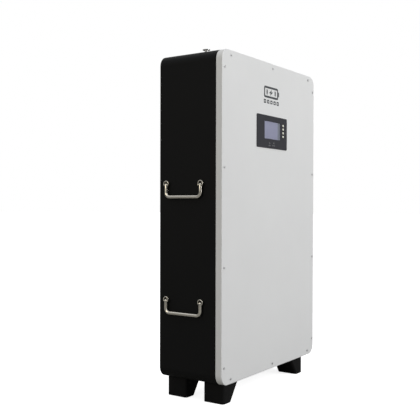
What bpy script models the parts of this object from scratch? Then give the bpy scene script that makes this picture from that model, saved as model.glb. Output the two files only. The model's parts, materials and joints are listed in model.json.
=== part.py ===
"""Floor-standing lithium battery pack, built as an assembly of separate pieces.

Metres, +Z up. The front looks toward -Y and the origin is on the floor, under the
centre of the pack's bounding box. A sheet-steel case stands on four wedge feet and is
closed by a painted front cover, which carries the display. Two folding handles hang on
each side. The power and signal connections are on the top panel.
"""

import math

import bmesh
import bpy
from mathutils import Matrix, Vector

# Overall sizes of the enclosure
CASE_WIDTH = 0.565
CASE_HEIGHT = 0.930
PACK_DEPTH = 0.2155  # front face of the cover to the rear face of the case
CORNER_RADIUS = 0.030
SHEET = 0.002  # steel sheet thickness
COVER_DEPTH = 0.020
EDGE_ROUND = 0.0018  # fold radius along the cover's front edge
GAP = 0.0003  # clearance between pieces that rest on each other
GASKET_THICKNESS = 0.0012
FLANGE_WIDTH = 0.018  # return flange round the case's front opening

# Feet
FOOT_HEIGHT = 0.061
FOOT_LENGTH = 0.067
FOOT_OUTER_X = 0.241
FOOT_BOTTOM_WIDTH = 0.042
FOOT_TOP_WIDTH = 0.085
FOOT_WALL = 0.003
FOOT_FRONT_CORNER = 0.009  # bend radius of the feet's front upright edges
FOOT_REAR_CORNER = 0.0035

# Folding handles
HANDLE_HEIGHTS = {"lower": 0.228, "upper": 0.5595}  # post axis above the case's underside
HANDLE_CENTRE_DEPTH = 0.127  # middle of the handle behind the cover's front face
POST_SPACING = 0.120
POST_RADIUS = 0.009
POST_LENGTH = 0.0091
ROD_RADIUS = 0.005
SLOT_RADIUS = 0.0054
SLOT_FLOOR = 0.0012
PIN_RADIUS = 0.0015
PIN_OUT = 0.0065  # pin axis from the side wall
PIN_DROP = 0.0038  # pin axis below the post's axis
BAR_DROP = 0.038  # bar's axis below the post's axis
BEND_RADIUS = 0.013
STUD_RADIUS = 0.003

# Cover screws
SCREW_EDGE = 0.0116
SCREW_END_X = 0.237
SCREW_SIDE_END = 0.051
SCREW_ROW_EDGE = 0.0145
SCREW_HEAD_RADIUS = 0.0035
SCREW_HEAD_HEIGHT = 0.0020
SCREW_RADIUS = 0.002
SCREW_REACH = 0.029

# Display
PANEL_X = -0.0053
PANEL_Z = 0.7207
PANEL_WIDTH = 0.1855
PANEL_HEIGHT = 0.0986
PANEL_PROUD = 0.0020
SCREEN_OFFSET = (0.0011, 0.0056)
SCREEN_SIZE = (0.0976, 0.0525)
KEY_OFFSET_X = 0.0670
KEY_TOP_OFFSET_Z = 0.0259
KEY_PITCH = 0.0114
KEY_RADIUS = 0.0040
KEY_PROUD = 0.0032
KEY_TRAVEL = 0.0006
LIGHT_OFFSETS = ((-0.0175, -0.0338), (0.0084, -0.0324))
LIGHT_RADIUS = 0.0011

# Fittings on the top panel: (x, depth behind the cover's front face)
VALVE_PLACE = (-0.238, 0.083)
NEGATIVE_PLACE = (0.225, 0.150)
POSITIVE_PLACE = (0.165, 0.150)
BREAKER_PLACE = (0.090, 0.145)
PORTS_PLACE = (0.010, 0.155)
BUTTON_PLACE = (-0.055, 0.155)
EARTH_PLACE = (0.238, 0.105)
TOGGLE_ANGLE = math.radians(20)

# Cells
CELL_HEIGHT = 0.207
CELL_DEPTH = 0.174
CELL_THICKNESS = 0.072
CELLS_PER_MODULE = 4
END_PLATE = 0.006
MODULE_GAP_X = 0.060
MODULE_FLOOR = 0.010

# Battery manager: width, depth, height
MANAGER_SIZE = (0.300, 0.048, 0.150)
MANAGER_FLOOR_Z = 0.700
BREAKER_DROP = 0.082  # breaker's underside below the top panel

FRONT_Y = -(PACK_DEPTH - KEY_PROUD) / 2
REAR_Y = FRONT_Y + PACK_DEPTH
CASE_FRONT_Y = FRONT_Y + COVER_DEPTH + 2 * GAP + GASKET_THICKNESS
UNDERSIDE_Z = FOOT_HEIGHT
TOP_Z = UNDERSIDE_Z + CASE_HEIGHT
MIDDLE_Z = (UNDERSIDE_Z + TOP_Z) / 2
SIDE_X = CASE_WIDTH / 2
CORNER_STEPS = 5
RING_POINTS = 4 * (CORNER_STEPS + 1)
KEY_SIDES = 16
POST_SIDES = 20
ROD_SIDES = 10
SMALL_SIDES = 8


def clear_scene():
    for item in list(bpy.data.objects):
        bpy.data.objects.remove(item, do_unlink=True)


def make_material(name, color, roughness, metallic):
    material = bpy.data.materials.new(name)
    material.use_nodes = True
    shader = material.node_tree.nodes["Principled BSDF"]
    shader.inputs["Base Color"].default_value = (*color, 1.0)
    shader.inputs["Roughness"].default_value = roughness
    shader.inputs["Metallic"].default_value = metallic
    return material


# Outlines: closed rings with RING_POINTS points, so that any two can be joined

def rounded_rectangle(width, height, radius, low_radius=None):
    """Points round a rectangle with round corners, centred on the origin.

    low_radius is for the two corners on the negative side of the second axis.
    """
    high_radius, low_radius = radius, low_radius or radius
    points = []
    corners = ((1, 1, 0), (-1, 1, 90), (-1, -1, 180), (1, -1, 270))
    for sign_u, sign_v, start in corners:
        radius = high_radius if sign_v > 0 else low_radius
        centre_u = sign_u * (width / 2 - radius)
        centre_v = sign_v * (height / 2 - radius)
        for step in range(CORNER_STEPS + 1):
            angle = math.radians(start + 90 * step / CORNER_STEPS)
            points.append((centre_u + radius * math.cos(angle), centre_v + radius * math.sin(angle)))
    return points


def circle(radius, count=RING_POINTS):
    return [
        (radius * math.cos(math.tau * step / count), radius * math.sin(math.tau * step / count))
        for step in range(count)
    ]


def hexagon(across_flats):
    """A hexagon sampled at RING_POINTS points, the same number to a side."""
    points = []
    for step in range(RING_POINTS):
        angle = math.tau * step / RING_POINTS
        from_flat = (angle % math.radians(60)) - math.radians(30)
        reach = across_flats / 2 / math.cos(from_flat)
        points.append((reach * math.cos(angle), reach * math.sin(angle)))
    return points


def place(outline, axis, centre, along):
    """Put a flat outline at a height along X, Y or Z; centre is its middle in the other two."""
    first, second = centre
    if axis == "X":
        return [Vector((along, first + u, second + v)) for u, v in outline]
    if axis == "Y":
        return [Vector((first + u, along, second + v)) for u, v in outline]
    return [Vector((first + u, second + v, along)) for u, v in outline]


# Solids

def loft(name, rings, material, smooth=True, closed=False):
    """Skin a row of rings; its two ends are capped, or joined to each other if closed."""
    mesh_data = bmesh.new()
    loops = [[mesh_data.verts.new(point) for point in ring] for ring in rings]
    pairs = list(zip(loops, loops[1:]))
    if closed:
        pairs.append((loops[-1], loops[0]))
    else:
        mesh_data.faces.new(loops[0])
        mesh_data.faces.new(loops[-1])
    for lower, upper in pairs:
        for index in range(len(lower)):
            following = (index + 1) % len(lower)
            mesh_data.faces.new((lower[index], lower[following], upper[following], upper[index]))
    bmesh.ops.recalc_face_normals(mesh_data, faces=mesh_data.faces)
    mesh = bpy.data.meshes.new(name)
    mesh_data.to_mesh(mesh)
    mesh_data.free()
    if smooth:
        mesh.shade_smooth()
        mesh.set_sharp_from_angle(angle=math.radians(35))
    piece = bpy.data.objects.new(name, mesh)
    mesh.materials.append(material)
    bpy.context.scene.collection.objects.link(piece)
    return piece


def prism(name, outline, axis, centre, low, high, material, smooth=True):
    rings = [place(outline, axis, centre, low), place(outline, axis, centre, high)]
    return loft(name, rings, material, smooth)


def turned(name, profile, axis, centre, material, outline=circle):
    """A turned piece: profile holds (radius, position along the axis) from end to end."""
    return loft(name, [place(outline(radius), axis, centre, along) for radius, along in profile], material)


def join_solids(name, pieces):
    """One helper object that holds several separate solids."""
    mesh_data = bmesh.new()
    for piece in pieces:
        mesh_data.from_mesh(piece.data)
        bpy.data.objects.remove(piece, do_unlink=True)
    mesh = bpy.data.meshes.new(name)
    mesh_data.to_mesh(mesh)
    mesh_data.free()
    helper = bpy.data.objects.new(name, mesh)
    bpy.context.scene.collection.objects.link(helper)
    return helper


def combine(piece, helpers, operation="DIFFERENCE"):
    """Cut the helpers out of a piece, or add them to it, and hide them."""
    for helper in helpers:
        helper.hide_render = True
        helper.display_type = "WIRE"
        boolean = piece.modifiers.new(helper.name, "BOOLEAN")
        boolean.operation = operation
        boolean.solver = "EXACT"
        boolean.object = helper


def on_axis(piece, point):
    """Move a piece's origin to a point on its joint's axis and leave its mesh where it is."""
    piece.data.transform(Matrix.Translation(-Vector(point)))
    piece.location = point


# Enclosure

def case_ring(inset, along):
    outline = rounded_rectangle(
        CASE_WIDTH - 2 * inset, CASE_HEIGHT - 2 * inset, max(CORNER_RADIUS - inset, 0.004)
    )
    return place(outline, "Y", (0, MIDDLE_Z), along)


def screw_places():
    """(x, z) of the 14 cover screws: four down each side, three along the top and bottom."""
    places = []
    side_x = SIDE_X - SCREW_EDGE
    side_span = CASE_HEIGHT - 2 * SCREW_SIDE_END
    for step in range(4):
        height = UNDERSIDE_Z + SCREW_SIDE_END + side_span * step / 3
        places += [(-side_x, height), (side_x, height)]
    for height in (UNDERSIDE_Z + SCREW_ROW_EDGE, TOP_Z - SCREW_ROW_EDGE):
        places += [(x, height) for x in (-SCREW_END_X, 0.0, SCREW_END_X)]
    return places


def screw_holes(name, low, high, material):
    hole = circle(SCREW_RADIUS + 0.0004, SMALL_SIDES)
    drills = [prism(name, hole, "Y", spot, low, high, material) for spot in screw_places()]
    return join_solids(name, drills)


def top_holes(material):
    """Openings in the case's top panel for everything that passes through it."""
    low = TOP_Z - 0.010
    high = TOP_Z + 0.010
    sizes = (
        ("valve", VALVE_PLACE, circle(0.0085)),
        ("negative", NEGATIVE_PLACE, circle(0.0135)),
        ("positive", POSITIVE_PLACE, circle(0.0135)),
        ("breaker", BREAKER_PLACE, rounded_rectangle(0.036, 0.048, 0.003)),
        ("ports", PORTS_PLACE, rounded_rectangle(0.064, 0.020, 0.002)),
        ("button", BUTTON_PLACE, circle(0.0098)),
        ("earth", EARTH_PLACE, circle(0.0035)),
    )
    drills = []
    for name, spot, outline in sizes:
        centre = (spot[0], FRONT_Y + spot[1])
        drills.append(prism("hole_" + name, outline, "Z", centre, low, high, material))
    return join_solids("top_panel_holes", drills)


def post_holes(material):
    drills = []
    for side in (-1, 1):
        for _, _, centre in post_places():
            low, high = sorted((side * (SIDE_X - 0.010), side * (SIDE_X + 0.010)))
            hole = circle(STUD_RADIUS + 0.0004, SMALL_SIDES)
            drills.append(prism("hole_post", hole, "X", centre, low, high, material))
    return join_solids("side_wall_holes", drills)


def build_case(materials):
    rings = [
        case_ring(SHEET, REAR_Y - SHEET),
        case_ring(SHEET, CASE_FRONT_Y + SHEET),
        case_ring(FLANGE_WIDTH, CASE_FRONT_Y + SHEET),
        case_ring(FLANGE_WIDTH, CASE_FRONT_Y),
        case_ring(0, CASE_FRONT_Y),
        case_ring(0, REAR_Y),
    ]
    case = loft("rear_case", rings, materials["case"])
    flange_holes = screw_holes("flange_holes", CASE_FRONT_Y - 0.003, CASE_FRONT_Y + 0.005, materials["case"])
    combine(case, [flange_holes, top_holes(materials["case"]), post_holes(materials["case"])])


def build_cover(materials):
    back = FRONT_Y + COVER_DEPTH
    rings = [
        case_ring(SHEET, FRONT_Y + SHEET),
        case_ring(SHEET, back),
        case_ring(0, back),
        case_ring(0, FRONT_Y + EDGE_ROUND),
        case_ring(EDGE_ROUND * 0.3, FRONT_Y + EDGE_ROUND * 0.3),
        case_ring(EDGE_ROUND, FRONT_Y),
    ]
    cover = loft("front_cover", rings, materials["cover"])
    opening = rounded_rectangle(PANEL_WIDTH - 0.014, PANEL_HEIGHT - 0.014, 0.003)
    window = prism(
        "display_opening", opening, "Y", (PANEL_X, UNDERSIDE_Z + PANEL_Z),
        FRONT_Y - 0.005, FRONT_Y + 0.005, materials["cover"],
    )
    holes = screw_holes("cover_holes", FRONT_Y - 0.005, FRONT_Y + 0.005, materials["cover"])
    combine(cover, [window, holes])


def build_gasket(materials):
    low = FRONT_Y + COVER_DEPTH + GAP
    high = low + GASKET_THICKNESS
    rings = [case_ring(0.0010, low), case_ring(0.0010, high), case_ring(0.0080, high), case_ring(0.0080, low)]
    loft("cover_gasket", rings, materials["rubber"], closed=True)


def build_screws(materials):
    """Button-head screws: a domed head with a round socket, and a shank into the case's flange."""
    head_back = FRONT_Y - GAP
    head_front = head_back - SCREW_HEAD_HEIGHT
    profile = [
        (SCREW_RADIUS, FRONT_Y + SCREW_REACH),
        (SCREW_RADIUS, head_back),
        (SCREW_HEAD_RADIUS, head_back),
        (SCREW_HEAD_RADIUS, head_back - SCREW_HEAD_HEIGHT * 0.4),
        (SCREW_HEAD_RADIUS * 0.70, head_front),
        (SCREW_HEAD_RADIUS * 0.36, head_front),
        (SCREW_HEAD_RADIUS * 0.36, head_front + 0.0012),
    ]
    for number, spot in enumerate(screw_places(), start=1):
        turned(
            f"cover_screw_{number:02d}", profile, "Y", spot, materials["screw"],
            outline=lambda radius: circle(radius, SMALL_SIDES),
        )


def build_feet(materials):
    """Wedge feet, folded from sheet and open where the case closes them."""
    inner_bottom = FOOT_OUTER_X - FOOT_BOTTOM_WIDTH
    inner_top = FOOT_OUTER_X - FOOT_TOP_WIDTH
    top = UNDERSIDE_Z - GAP

    def ring(side, height, inset, centre_y):
        blend = height / FOOT_HEIGHT
        inner = inner_bottom + (inner_top - inner_bottom) * blend
        width = FOOT_OUTER_X - inner - 2 * inset
        outline = rounded_rectangle(
            width, FOOT_LENGTH - 2 * inset, FOOT_REAR_CORNER - inset, FOOT_FRONT_CORNER - inset,
        )
        return place(outline, "Z", (side * (FOOT_OUTER_X + inner) / 2, centre_y), height)

    rows = {
        "front": CASE_FRONT_Y + FOOT_LENGTH / 2 - 0.0015,
        "rear": REAR_Y - FOOT_LENGTH / 2,
    }
    for row, centre_y in rows.items():
        for side_name, side in (("left", -1), ("right", 1)):
            rings = [
                ring(side, 0.0, 0.0008, centre_y),
                ring(side, 0.0008, 0, centre_y),
                ring(side, top, 0, centre_y),
                ring(side, top, FOOT_WALL, centre_y),
                ring(side, FOOT_WALL, FOOT_WALL, centre_y),
            ]
            loft(f"foot_{row}_{side_name}", rings, materials["foot"])


# Folding handles

def post_places():
    """(level, end, (y, z)) of the four handle posts on either side."""
    middle = FRONT_Y + HANDLE_CENTRE_DEPTH
    places = []
    for level, height in HANDLE_HEIGHTS.items():
        for end, sign in (("front", -1), ("rear", 1)):
            places.append((level, end, (middle + sign * POST_SPACING / 2, UNDERSIDE_Z + height)))
    return places


def slot_outline():
    """A round-topped slot that runs out of the bottom of a post."""
    points = [(-SLOT_RADIUS, -0.02), (SLOT_RADIUS, -0.02)]
    steps = 6
    for step in range(steps + 1):
        angle = math.pi * step / steps
        points.append((SLOT_RADIUS * math.cos(angle), SLOT_RADIUS * math.sin(angle)))
    return points


def build_post(name, side, centre, materials):
    """A round post with a slot for the bail's end, a cross hole for its pin, and a stud."""
    wall = side * SIDE_X
    chamfer = 0.0010
    profile = [
        (STUD_RADIUS, wall - side * 0.010),
        (STUD_RADIUS, wall + side * GAP),
        (POST_RADIUS, wall + side * GAP),
        (POST_RADIUS, wall + side * (POST_LENGTH - chamfer)),
        (POST_RADIUS - chamfer, wall + side * POST_LENGTH),
    ]
    post = turned(
        name, profile, "X", centre, materials["handle"], outline=lambda radius: circle(radius, POST_SIDES)
    )
    low, high = sorted((wall + side * SLOT_FLOOR, wall + side * (POST_LENGTH + 0.005)))
    slot = prism(name + "_slot", slot_outline(), "X", centre, low, high, materials["handle"])
    pin_centre = (wall + side * PIN_OUT, centre[1] - PIN_DROP)
    hole = prism(
        name + "_hole", circle(PIN_RADIUS + 0.0004, SMALL_SIDES), "Y", pin_centre,
        centre[0] - 0.02, centre[0] + 0.02, materials["handle"],
    )
    combine(post, [slot, hole])


def bail_path(centre_y, pin_z, bar_z):
    """Down one arm, round two bends and up the other arm, as (y, z, heading, radius)."""
    arm_y = centre_y - POST_SPACING / 2
    half = []
    for degrees in (15, 50):
        angle = math.radians(degrees)
        half.append((arm_y, pin_z + ROD_RADIUS * math.cos(angle), -90.0, ROD_RADIUS * math.sin(angle)))
    half.append((arm_y, pin_z, -90.0, ROD_RADIUS))
    steps = 5
    for step in range(steps + 1):
        heading = -90.0 + 90.0 * step / steps
        angle = math.radians(heading - 90.0)
        y = arm_y + BEND_RADIUS + BEND_RADIUS * math.cos(angle)
        z = bar_z + BEND_RADIUS + BEND_RADIUS * math.sin(angle)
        half.append((y, z, heading, ROD_RADIUS))
    other = [(2 * centre_y - y, z, -heading, radius) for y, z, heading, radius in reversed(half)]
    return half + other


def rod_ring(x, y, z, heading, radius):
    """A circle across a rod that runs in the YZ plane at a heading in degrees."""
    angle = math.radians(heading)
    across = Vector((0, -math.sin(angle), math.cos(angle)))
    outward = Vector((1, 0, 0))
    centre = Vector((x, y, z))
    return [centre + outward * u + across * v for u, v in circle(radius, ROD_SIDES)]


def build_bail(name, side, centre_y, post_z, materials):
    """A bent rod with round ends, and the two pins that turn in the posts."""
    axis_x = side * (SIDE_X + PIN_OUT)
    pin_z = post_z - PIN_DROP
    path = bail_path(centre_y, pin_z, post_z - BAR_DROP)
    rings = [rod_ring(axis_x, y, z, heading, radius) for y, z, heading, radius in path]
    bail = loft(name, rings, materials["handle"])
    reach = POST_RADIUS - 0.0012
    pins = []
    for end, sign in (("front", -1), ("rear", 1)):
        middle = centre_y + sign * POST_SPACING / 2
        pins.append(prism(
            f"{name}_pin_{end}", circle(PIN_RADIUS, SMALL_SIDES), "Y", (axis_x, pin_z),
            middle - reach, middle + reach, materials["handle"],
        ))
    combine(bail, [join_solids(name + "_pins", pins)], "UNION")
    on_axis(bail, (axis_x, centre_y, pin_z))


def build_handles(materials):
    for side_name, side in (("left", -1), ("right", 1)):
        for level, end, centre in post_places():
            build_post(f"handle_post_{side_name}_{level}_{end}", side, centre, materials)
        for level, height in HANDLE_HEIGHTS.items():
            centre_y = FRONT_Y + HANDLE_CENTRE_DEPTH
            build_bail(f"handle_bail_{side_name}_{level}", side, centre_y, UNDERSIDE_Z + height, materials)


# Display and keys

def build_display(materials):
    """Everything is placed from the bezel's middle, from the front towards the back."""
    centre = (PANEL_X, UNDERSIDE_Z + PANEL_Z)
    screen = (centre[0] + SCREEN_OFFSET[0], centre[1] + SCREEN_OFFSET[1])
    face = FRONT_Y - PANEL_PROUD
    back = FRONT_Y - GAP
    collar = (PANEL_WIDTH - 0.015, PANEL_HEIGHT - 0.015)
    collar_back = FRONT_Y + 0.006

    def panel_ring(width, height, radius, along):
        return place(rounded_rectangle(width, height, radius), "Y", centre, along)

    rings = [
        panel_ring(collar[0] - 0.004, collar[1] - 0.004, 0.002, back),
        panel_ring(collar[0] - 0.004, collar[1] - 0.004, 0.002, collar_back),
        panel_ring(collar[0], collar[1], 0.003, collar_back),
        panel_ring(collar[0], collar[1], 0.003, back),
        panel_ring(PANEL_WIDTH, PANEL_HEIGHT, 0.003, back),
        panel_ring(PANEL_WIDTH, PANEL_HEIGHT, 0.003, face + 0.0006),
        panel_ring(PANEL_WIDTH - 0.0012, PANEL_HEIGHT - 0.0012, 0.003, face),
    ]
    bezel = loft("display_bezel", rings, materials["bezel"])
    window_hole = prism(
        "window_hole", rounded_rectangle(*SCREEN_SIZE, 0.001), "Y", screen,
        face - 0.003, back + 0.0002, materials["bezel"],
    )
    small_holes = []
    for spot in key_places():
        small_holes.append(prism(
            "key_hole", circle(KEY_RADIUS + GAP, KEY_SIDES), "Y", spot, face - 0.003, back + 0.0002,
            materials["bezel"],
        ))
    for spot in light_places():
        small_holes.append(prism(
            "light_hole", circle(LIGHT_RADIUS + GAP, SMALL_SIDES), "Y", spot, face - 0.003, back + 0.0002,
            materials["bezel"],
        ))
    combine(bezel, [window_hole, join_solids("bezel_holes", small_holes)])

    lens = rounded_rectangle(SCREEN_SIZE[0] - 2 * GAP, SCREEN_SIZE[1] - 2 * GAP, 0.0009)
    prism("display_window", lens, "Y", screen, face + 0.0003, back - 0.0002, materials["window"])
    module = rounded_rectangle(SCREEN_SIZE[0] + 0.006, SCREEN_SIZE[1] + 0.008, 0.001)
    prism("screen_module", module, "Y", screen, back + 0.0003, back + 0.0040, materials["screen"])
    board = rounded_rectangle(collar[0] - 0.005, collar[1] - 0.005, 0.0015)
    prism("display_board", board, "Y", centre, back + 0.0044, back + 0.0060, materials["board"])


def key_places():
    x = PANEL_X + KEY_OFFSET_X
    top = UNDERSIDE_Z + PANEL_Z + KEY_TOP_OFFSET_Z
    return [(x, top - KEY_PITCH * row) for row in range(4)]


def light_places():
    return [(PANEL_X + u, UNDERSIDE_Z + PANEL_Z + v) for u, v in LIGHT_OFFSETS]


def build_keys(materials):
    """Round keys with a collar behind the bezel and a stem that reaches the board's switch."""
    front = FRONT_Y - KEY_PROUD
    back = FRONT_Y - GAP
    profile = [
        (KEY_RADIUS - 0.0007, front),
        (KEY_RADIUS - 0.0002, front + 0.0002),
        (KEY_RADIUS, front + 0.0007),
        (KEY_RADIUS, back + 0.0003),
        (KEY_RADIUS + 0.0010, back + 0.0003),
        (KEY_RADIUS + 0.0010, back + 0.0013),
        (0.0015, back + 0.0013),
        (0.0015, back + 0.0035),
    ]
    for name, spot in zip(("escape", "up", "down", "enter"), key_places()):
        key = turned(
            f"key_{name}", profile, "Y", spot, materials["key"],
            outline=lambda radius: circle(radius, KEY_SIDES),
        )
        on_axis(key, (spot[0], front, spot[1]))


def build_lights(materials):
    front = FRONT_Y - PANEL_PROUD
    profile = [
        (LIGHT_RADIUS * 0.6, front - 0.0003),
        (LIGHT_RADIUS, front),
        (LIGHT_RADIUS, FRONT_Y + 0.0038),
    ]
    for name, spot in zip(("run", "alarm"), light_places()):
        turned(
            f"status_light_{name}", profile, "Y", spot, materials["light"],
            outline=lambda radius: circle(radius, SMALL_SIDES),
        )


# Fittings on the top panel

def top_centre(spot):
    return (spot[0], FRONT_Y + spot[1])


def build_valve(materials):
    """Pressure-relief valve: a threaded neck, a nut-like collar and a round cap on a stem."""
    rest = TOP_Z + GAP
    profile = [
        (0.0080, TOP_Z - 0.0120),
        (0.0080, rest),
        (0.0100, rest),
        (0.0100, rest + 0.0020),
        (0.0055, rest + 0.0026),
        (0.0055, TOP_Z + 0.0070),
        (0.0108, TOP_Z + 0.0074),
        (0.0108, TOP_Z + 0.0100),
        (0.0096, TOP_Z + 0.0112),
    ]
    turned("vent_valve", profile, "Z", top_centre(VALVE_PLACE), materials["steel"])


def build_power_socket(name, spot, materials, housing):
    """Round power socket on a square flange, with a contact pin standing in it."""
    centre = top_centre(spot)
    low = TOP_Z - 0.016
    rest = TOP_Z + GAP
    square = rounded_rectangle(0.034, 0.034, 0.003)
    steps = [
        (circle(0.0130), low),
        (circle(0.0130), rest),
        (square, rest),
        (square, rest + 0.0030),
        (circle(0.0130), rest + 0.0030),
        (circle(0.0130), TOP_Z + 0.0200),
        (circle(0.0122), TOP_Z + 0.0208),
        (circle(0.0105), TOP_Z + 0.0208),
        (circle(0.0100), TOP_Z + 0.0200),
        (circle(0.0100), low + 0.0040),
    ]
    loft(name, [place(outline, "Z", centre, along) for outline, along in steps], housing)
    pin = [
        (0.0040, low + 0.0043),
        (0.0040, TOP_Z + 0.0140),
        (0.0030, TOP_Z + 0.0155),
    ]
    turned(
        name.replace("socket", "contact"), pin, "Z", centre, materials["brass"],
        outline=lambda radius: circle(radius, KEY_SIDES),
    )


def build_breaker(materials):
    """The breaker hangs under the panel; its nose comes up through the panel with the toggle in it."""
    centre = top_centre(BREAKER_PLACE)
    slot = rounded_rectangle(0.0120, 0.0260, 0.0015)
    nose = rounded_rectangle(0.0350, 0.0470, 0.0025)
    steps = [
        (rounded_rectangle(0.0380, 0.0700, 0.0020), TOP_Z - BREAKER_DROP),
        (rounded_rectangle(0.0380, 0.0700, 0.0020), TOP_Z - SHEET - GAP),
        (nose, TOP_Z - SHEET - GAP),
        (nose, TOP_Z + 0.0070),
        (rounded_rectangle(0.0336, 0.0456, 0.0020), TOP_Z + 0.0078),
        (slot, TOP_Z + 0.0078),
        (slot, TOP_Z - 0.0080),
    ]
    loft("breaker_body", [place(outline, "Z", centre, along) for outline, along in steps], materials["breaker"])

    pivot = (centre[0], centre[1], TOP_Z + 0.0010)
    hub = 0.0050
    tip = 0.0200
    half = 0.0028
    points = []
    start = math.asin(half / hub)
    steps = 14
    for step in range(steps + 1):
        angle = start + (math.tau - 2 * start) * step / steps
        points.append((hub * math.sin(angle), hub * math.cos(angle)))
    points += [(-half * 0.8, tip), (half * 0.8, tip)]
    lean = Matrix.Rotation(TOGGLE_ANGLE, 2)
    outline = [tuple(lean @ Vector(point)) for point in points]
    toggle = prism(
        "breaker_toggle", outline, "X", (pivot[1], pivot[2]),
        pivot[0] - 0.0050, pivot[0] + 0.0050, materials["toggle"],
    )
    on_axis(toggle, pivot)


def build_power_button(materials):
    centre = top_centre(BUTTON_PLACE)
    rest = TOP_Z + GAP
    ring = [
        (0.0095, TOP_Z - 0.022),
        (0.0095, rest),
        (0.0115, rest),
        (0.0115, rest + 0.0012),
        (0.0105, rest + 0.0020),
        (0.0080, rest + 0.0020),
        (0.0080, TOP_Z - 0.018),
    ]
    turned("power_button_ring", ring, "Z", centre, materials["steel"])
    cap = [
        (0.0030, TOP_Z - 0.0150),
        (0.0030, TOP_Z - 0.0080),
        (0.0076, TOP_Z - 0.0080),
        (0.0076, TOP_Z + 0.0026),
        (0.0070, TOP_Z + 0.0032),
    ]
    button = turned("power_button", cap, "Z", centre, materials["steel"])
    on_axis(button, (centre[0], centre[1], TOP_Z + 0.0032))


def build_ports(materials):
    """Four communication sockets side by side in one moulded block."""
    centre = top_centre(PORTS_PLACE)
    block = [
        (rounded_rectangle(0.0620, 0.0180, 0.0015), TOP_Z - 0.0180),
        (rounded_rectangle(0.0620, 0.0180, 0.0015), TOP_Z + GAP),
        (rounded_rectangle(0.0680, 0.0240, 0.0020), TOP_Z + GAP),
        (rounded_rectangle(0.0680, 0.0240, 0.0020), TOP_Z + 0.0020),
        (rounded_rectangle(0.0668, 0.0228, 0.0018), TOP_Z + 0.0026),
    ]
    ports = loft("communication_ports", [place(outline, "Z", centre, along) for outline, along in block],
                 materials["port"])
    drills = []
    for step in range(4):
        spot = (centre[0] + 0.0150 * (step - 1.5), centre[1])
        mouth = rounded_rectangle(0.0118, 0.0080, 0.0004)
        drills.append(prism("port_mouth", mouth, "Z", spot, TOP_Z - 0.0130, TOP_Z + 0.0060, materials["port"]))
    combine(ports, [join_solids("port_mouths", drills)])


def build_earth_stud(materials):
    rest = TOP_Z + GAP
    steps = [
        (circle(0.0030), TOP_Z - 0.0100),
        (circle(0.0030), rest),
        (circle(0.0080), rest),
        (circle(0.0080), rest + 0.0012),
        (hexagon(0.0100), rest + 0.0012),
        (hexagon(0.0100), rest + 0.0060),
        (circle(0.0030), rest + 0.0060),
        (circle(0.0030), TOP_Z + 0.0140),
        (circle(0.0024), TOP_Z + 0.0146),
    ]
    centre = top_centre(EARTH_PLACE)
    loft("earth_stud", [place(outline, "Z", centre, along) for outline, along in steps], materials["brass"])


# Inside the case

def build_cell_modules(materials):
    """Four clamped stacks of four cells; the cells' posts face the gap between the stacks."""
    depth_middle = (CASE_FRONT_Y + REAR_Y) / 2
    low_y = depth_middle - CELL_DEPTH / 2
    high_y = depth_middle + CELL_DEPTH / 2
    height = CELLS_PER_MODULE * CELL_THICKNESS + 2 * END_PLATE
    groove = 0.0015
    for level_index, level in enumerate(("lower", "upper")):
        base = UNDERSIDE_Z + MODULE_FLOOR + level_index * (height + 0.004)
        for side_name, side in (("left", -1), ("right", 1)):
            near = side * MODULE_GAP_X / 2
            far = side * (MODULE_GAP_X / 2 + CELL_HEIGHT)
            edge = [(0.0, base)]
            for joint in range(CELLS_PER_MODULE + 1):
                z = base + END_PLATE + joint * CELL_THICKNESS
                edge += [(0.0, z - groove), (groove, z), (0.0, z + groove)]
            edge.append((0.0, base + height))
            outline = [(near + side * inset, z) for inset, z in edge]
            outline += [(far - side * inset, z) for inset, z in reversed(edge)]
            module = prism(
                f"cell_module_{level}_{side_name}", outline, "Y", (0, 0), low_y, high_y, materials["cell"],
                smooth=False,
            )
            posts = []
            for cell in range(CELLS_PER_MODULE):
                z = base + END_PLATE + (cell + 0.5) * CELL_THICKNESS
                ends = sorted((near + side * 0.003, near - side * 0.006))
                for offset in (-0.061, 0.061):
                    posts.append(prism(
                        "cell_post", circle(0.006, SMALL_SIDES), "X", (depth_middle + offset, z), *ends,
                        materials["cell"],
                    ))
            combine(module, [join_solids(module.name + "_posts", posts)], "UNION")


def build_battery_manager(materials):
    """Finned aluminium box on the case's rear wall, above the cells."""
    width = MANAGER_SIZE[0]
    mounting_face = REAR_Y - SHEET - GAP
    fin_root = mounting_face - MANAGER_SIZE[1] * 0.6
    fin_tip = mounting_face - MANAGER_SIZE[1]
    fins = 12
    pitch = width / fins
    outline = [(-width / 2, mounting_face), (-width / 2, fin_root)]
    for fin in range(fins):
        left = -width / 2 + (fin + 0.3) * pitch
        right = left + 0.4 * pitch
        outline += [(left, fin_root), (left, fin_tip), (right, fin_tip), (right, fin_root)]
    outline += [(width / 2, fin_root), (width / 2, mounting_face)]
    prism(
        "battery_manager", outline, "Z", (0, 0), MANAGER_FLOOR_Z, MANAGER_FLOOR_Z + MANAGER_SIZE[2],
        materials["aluminium"], smooth=False,
    )


def build_busbar(materials):
    """Copper strip with two bends, from the battery manager up to the breaker."""
    thickness = 0.003
    low = MANAGER_FLOOR_Z + MANAGER_SIZE[2] + GAP
    high = TOP_Z - BREAKER_DROP - GAP
    step_z = (low + high) / 2
    lower_y = REAR_Y - 0.020
    upper_y = FRONT_Y + BREAKER_PLACE[1]
    outline = [
        (lower_y, low), (lower_y, step_z + thickness), (upper_y, step_z + thickness), (upper_y, high),
        (upper_y - thickness, high), (upper_y - thickness, step_z), (lower_y - thickness, step_z),
        (lower_y - thickness, low),
    ]
    x = BREAKER_PLACE[0]
    prism("main_busbar", outline, "X", (0, 0), x - 0.010, x + 0.010, materials["copper"], smooth=False)


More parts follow.
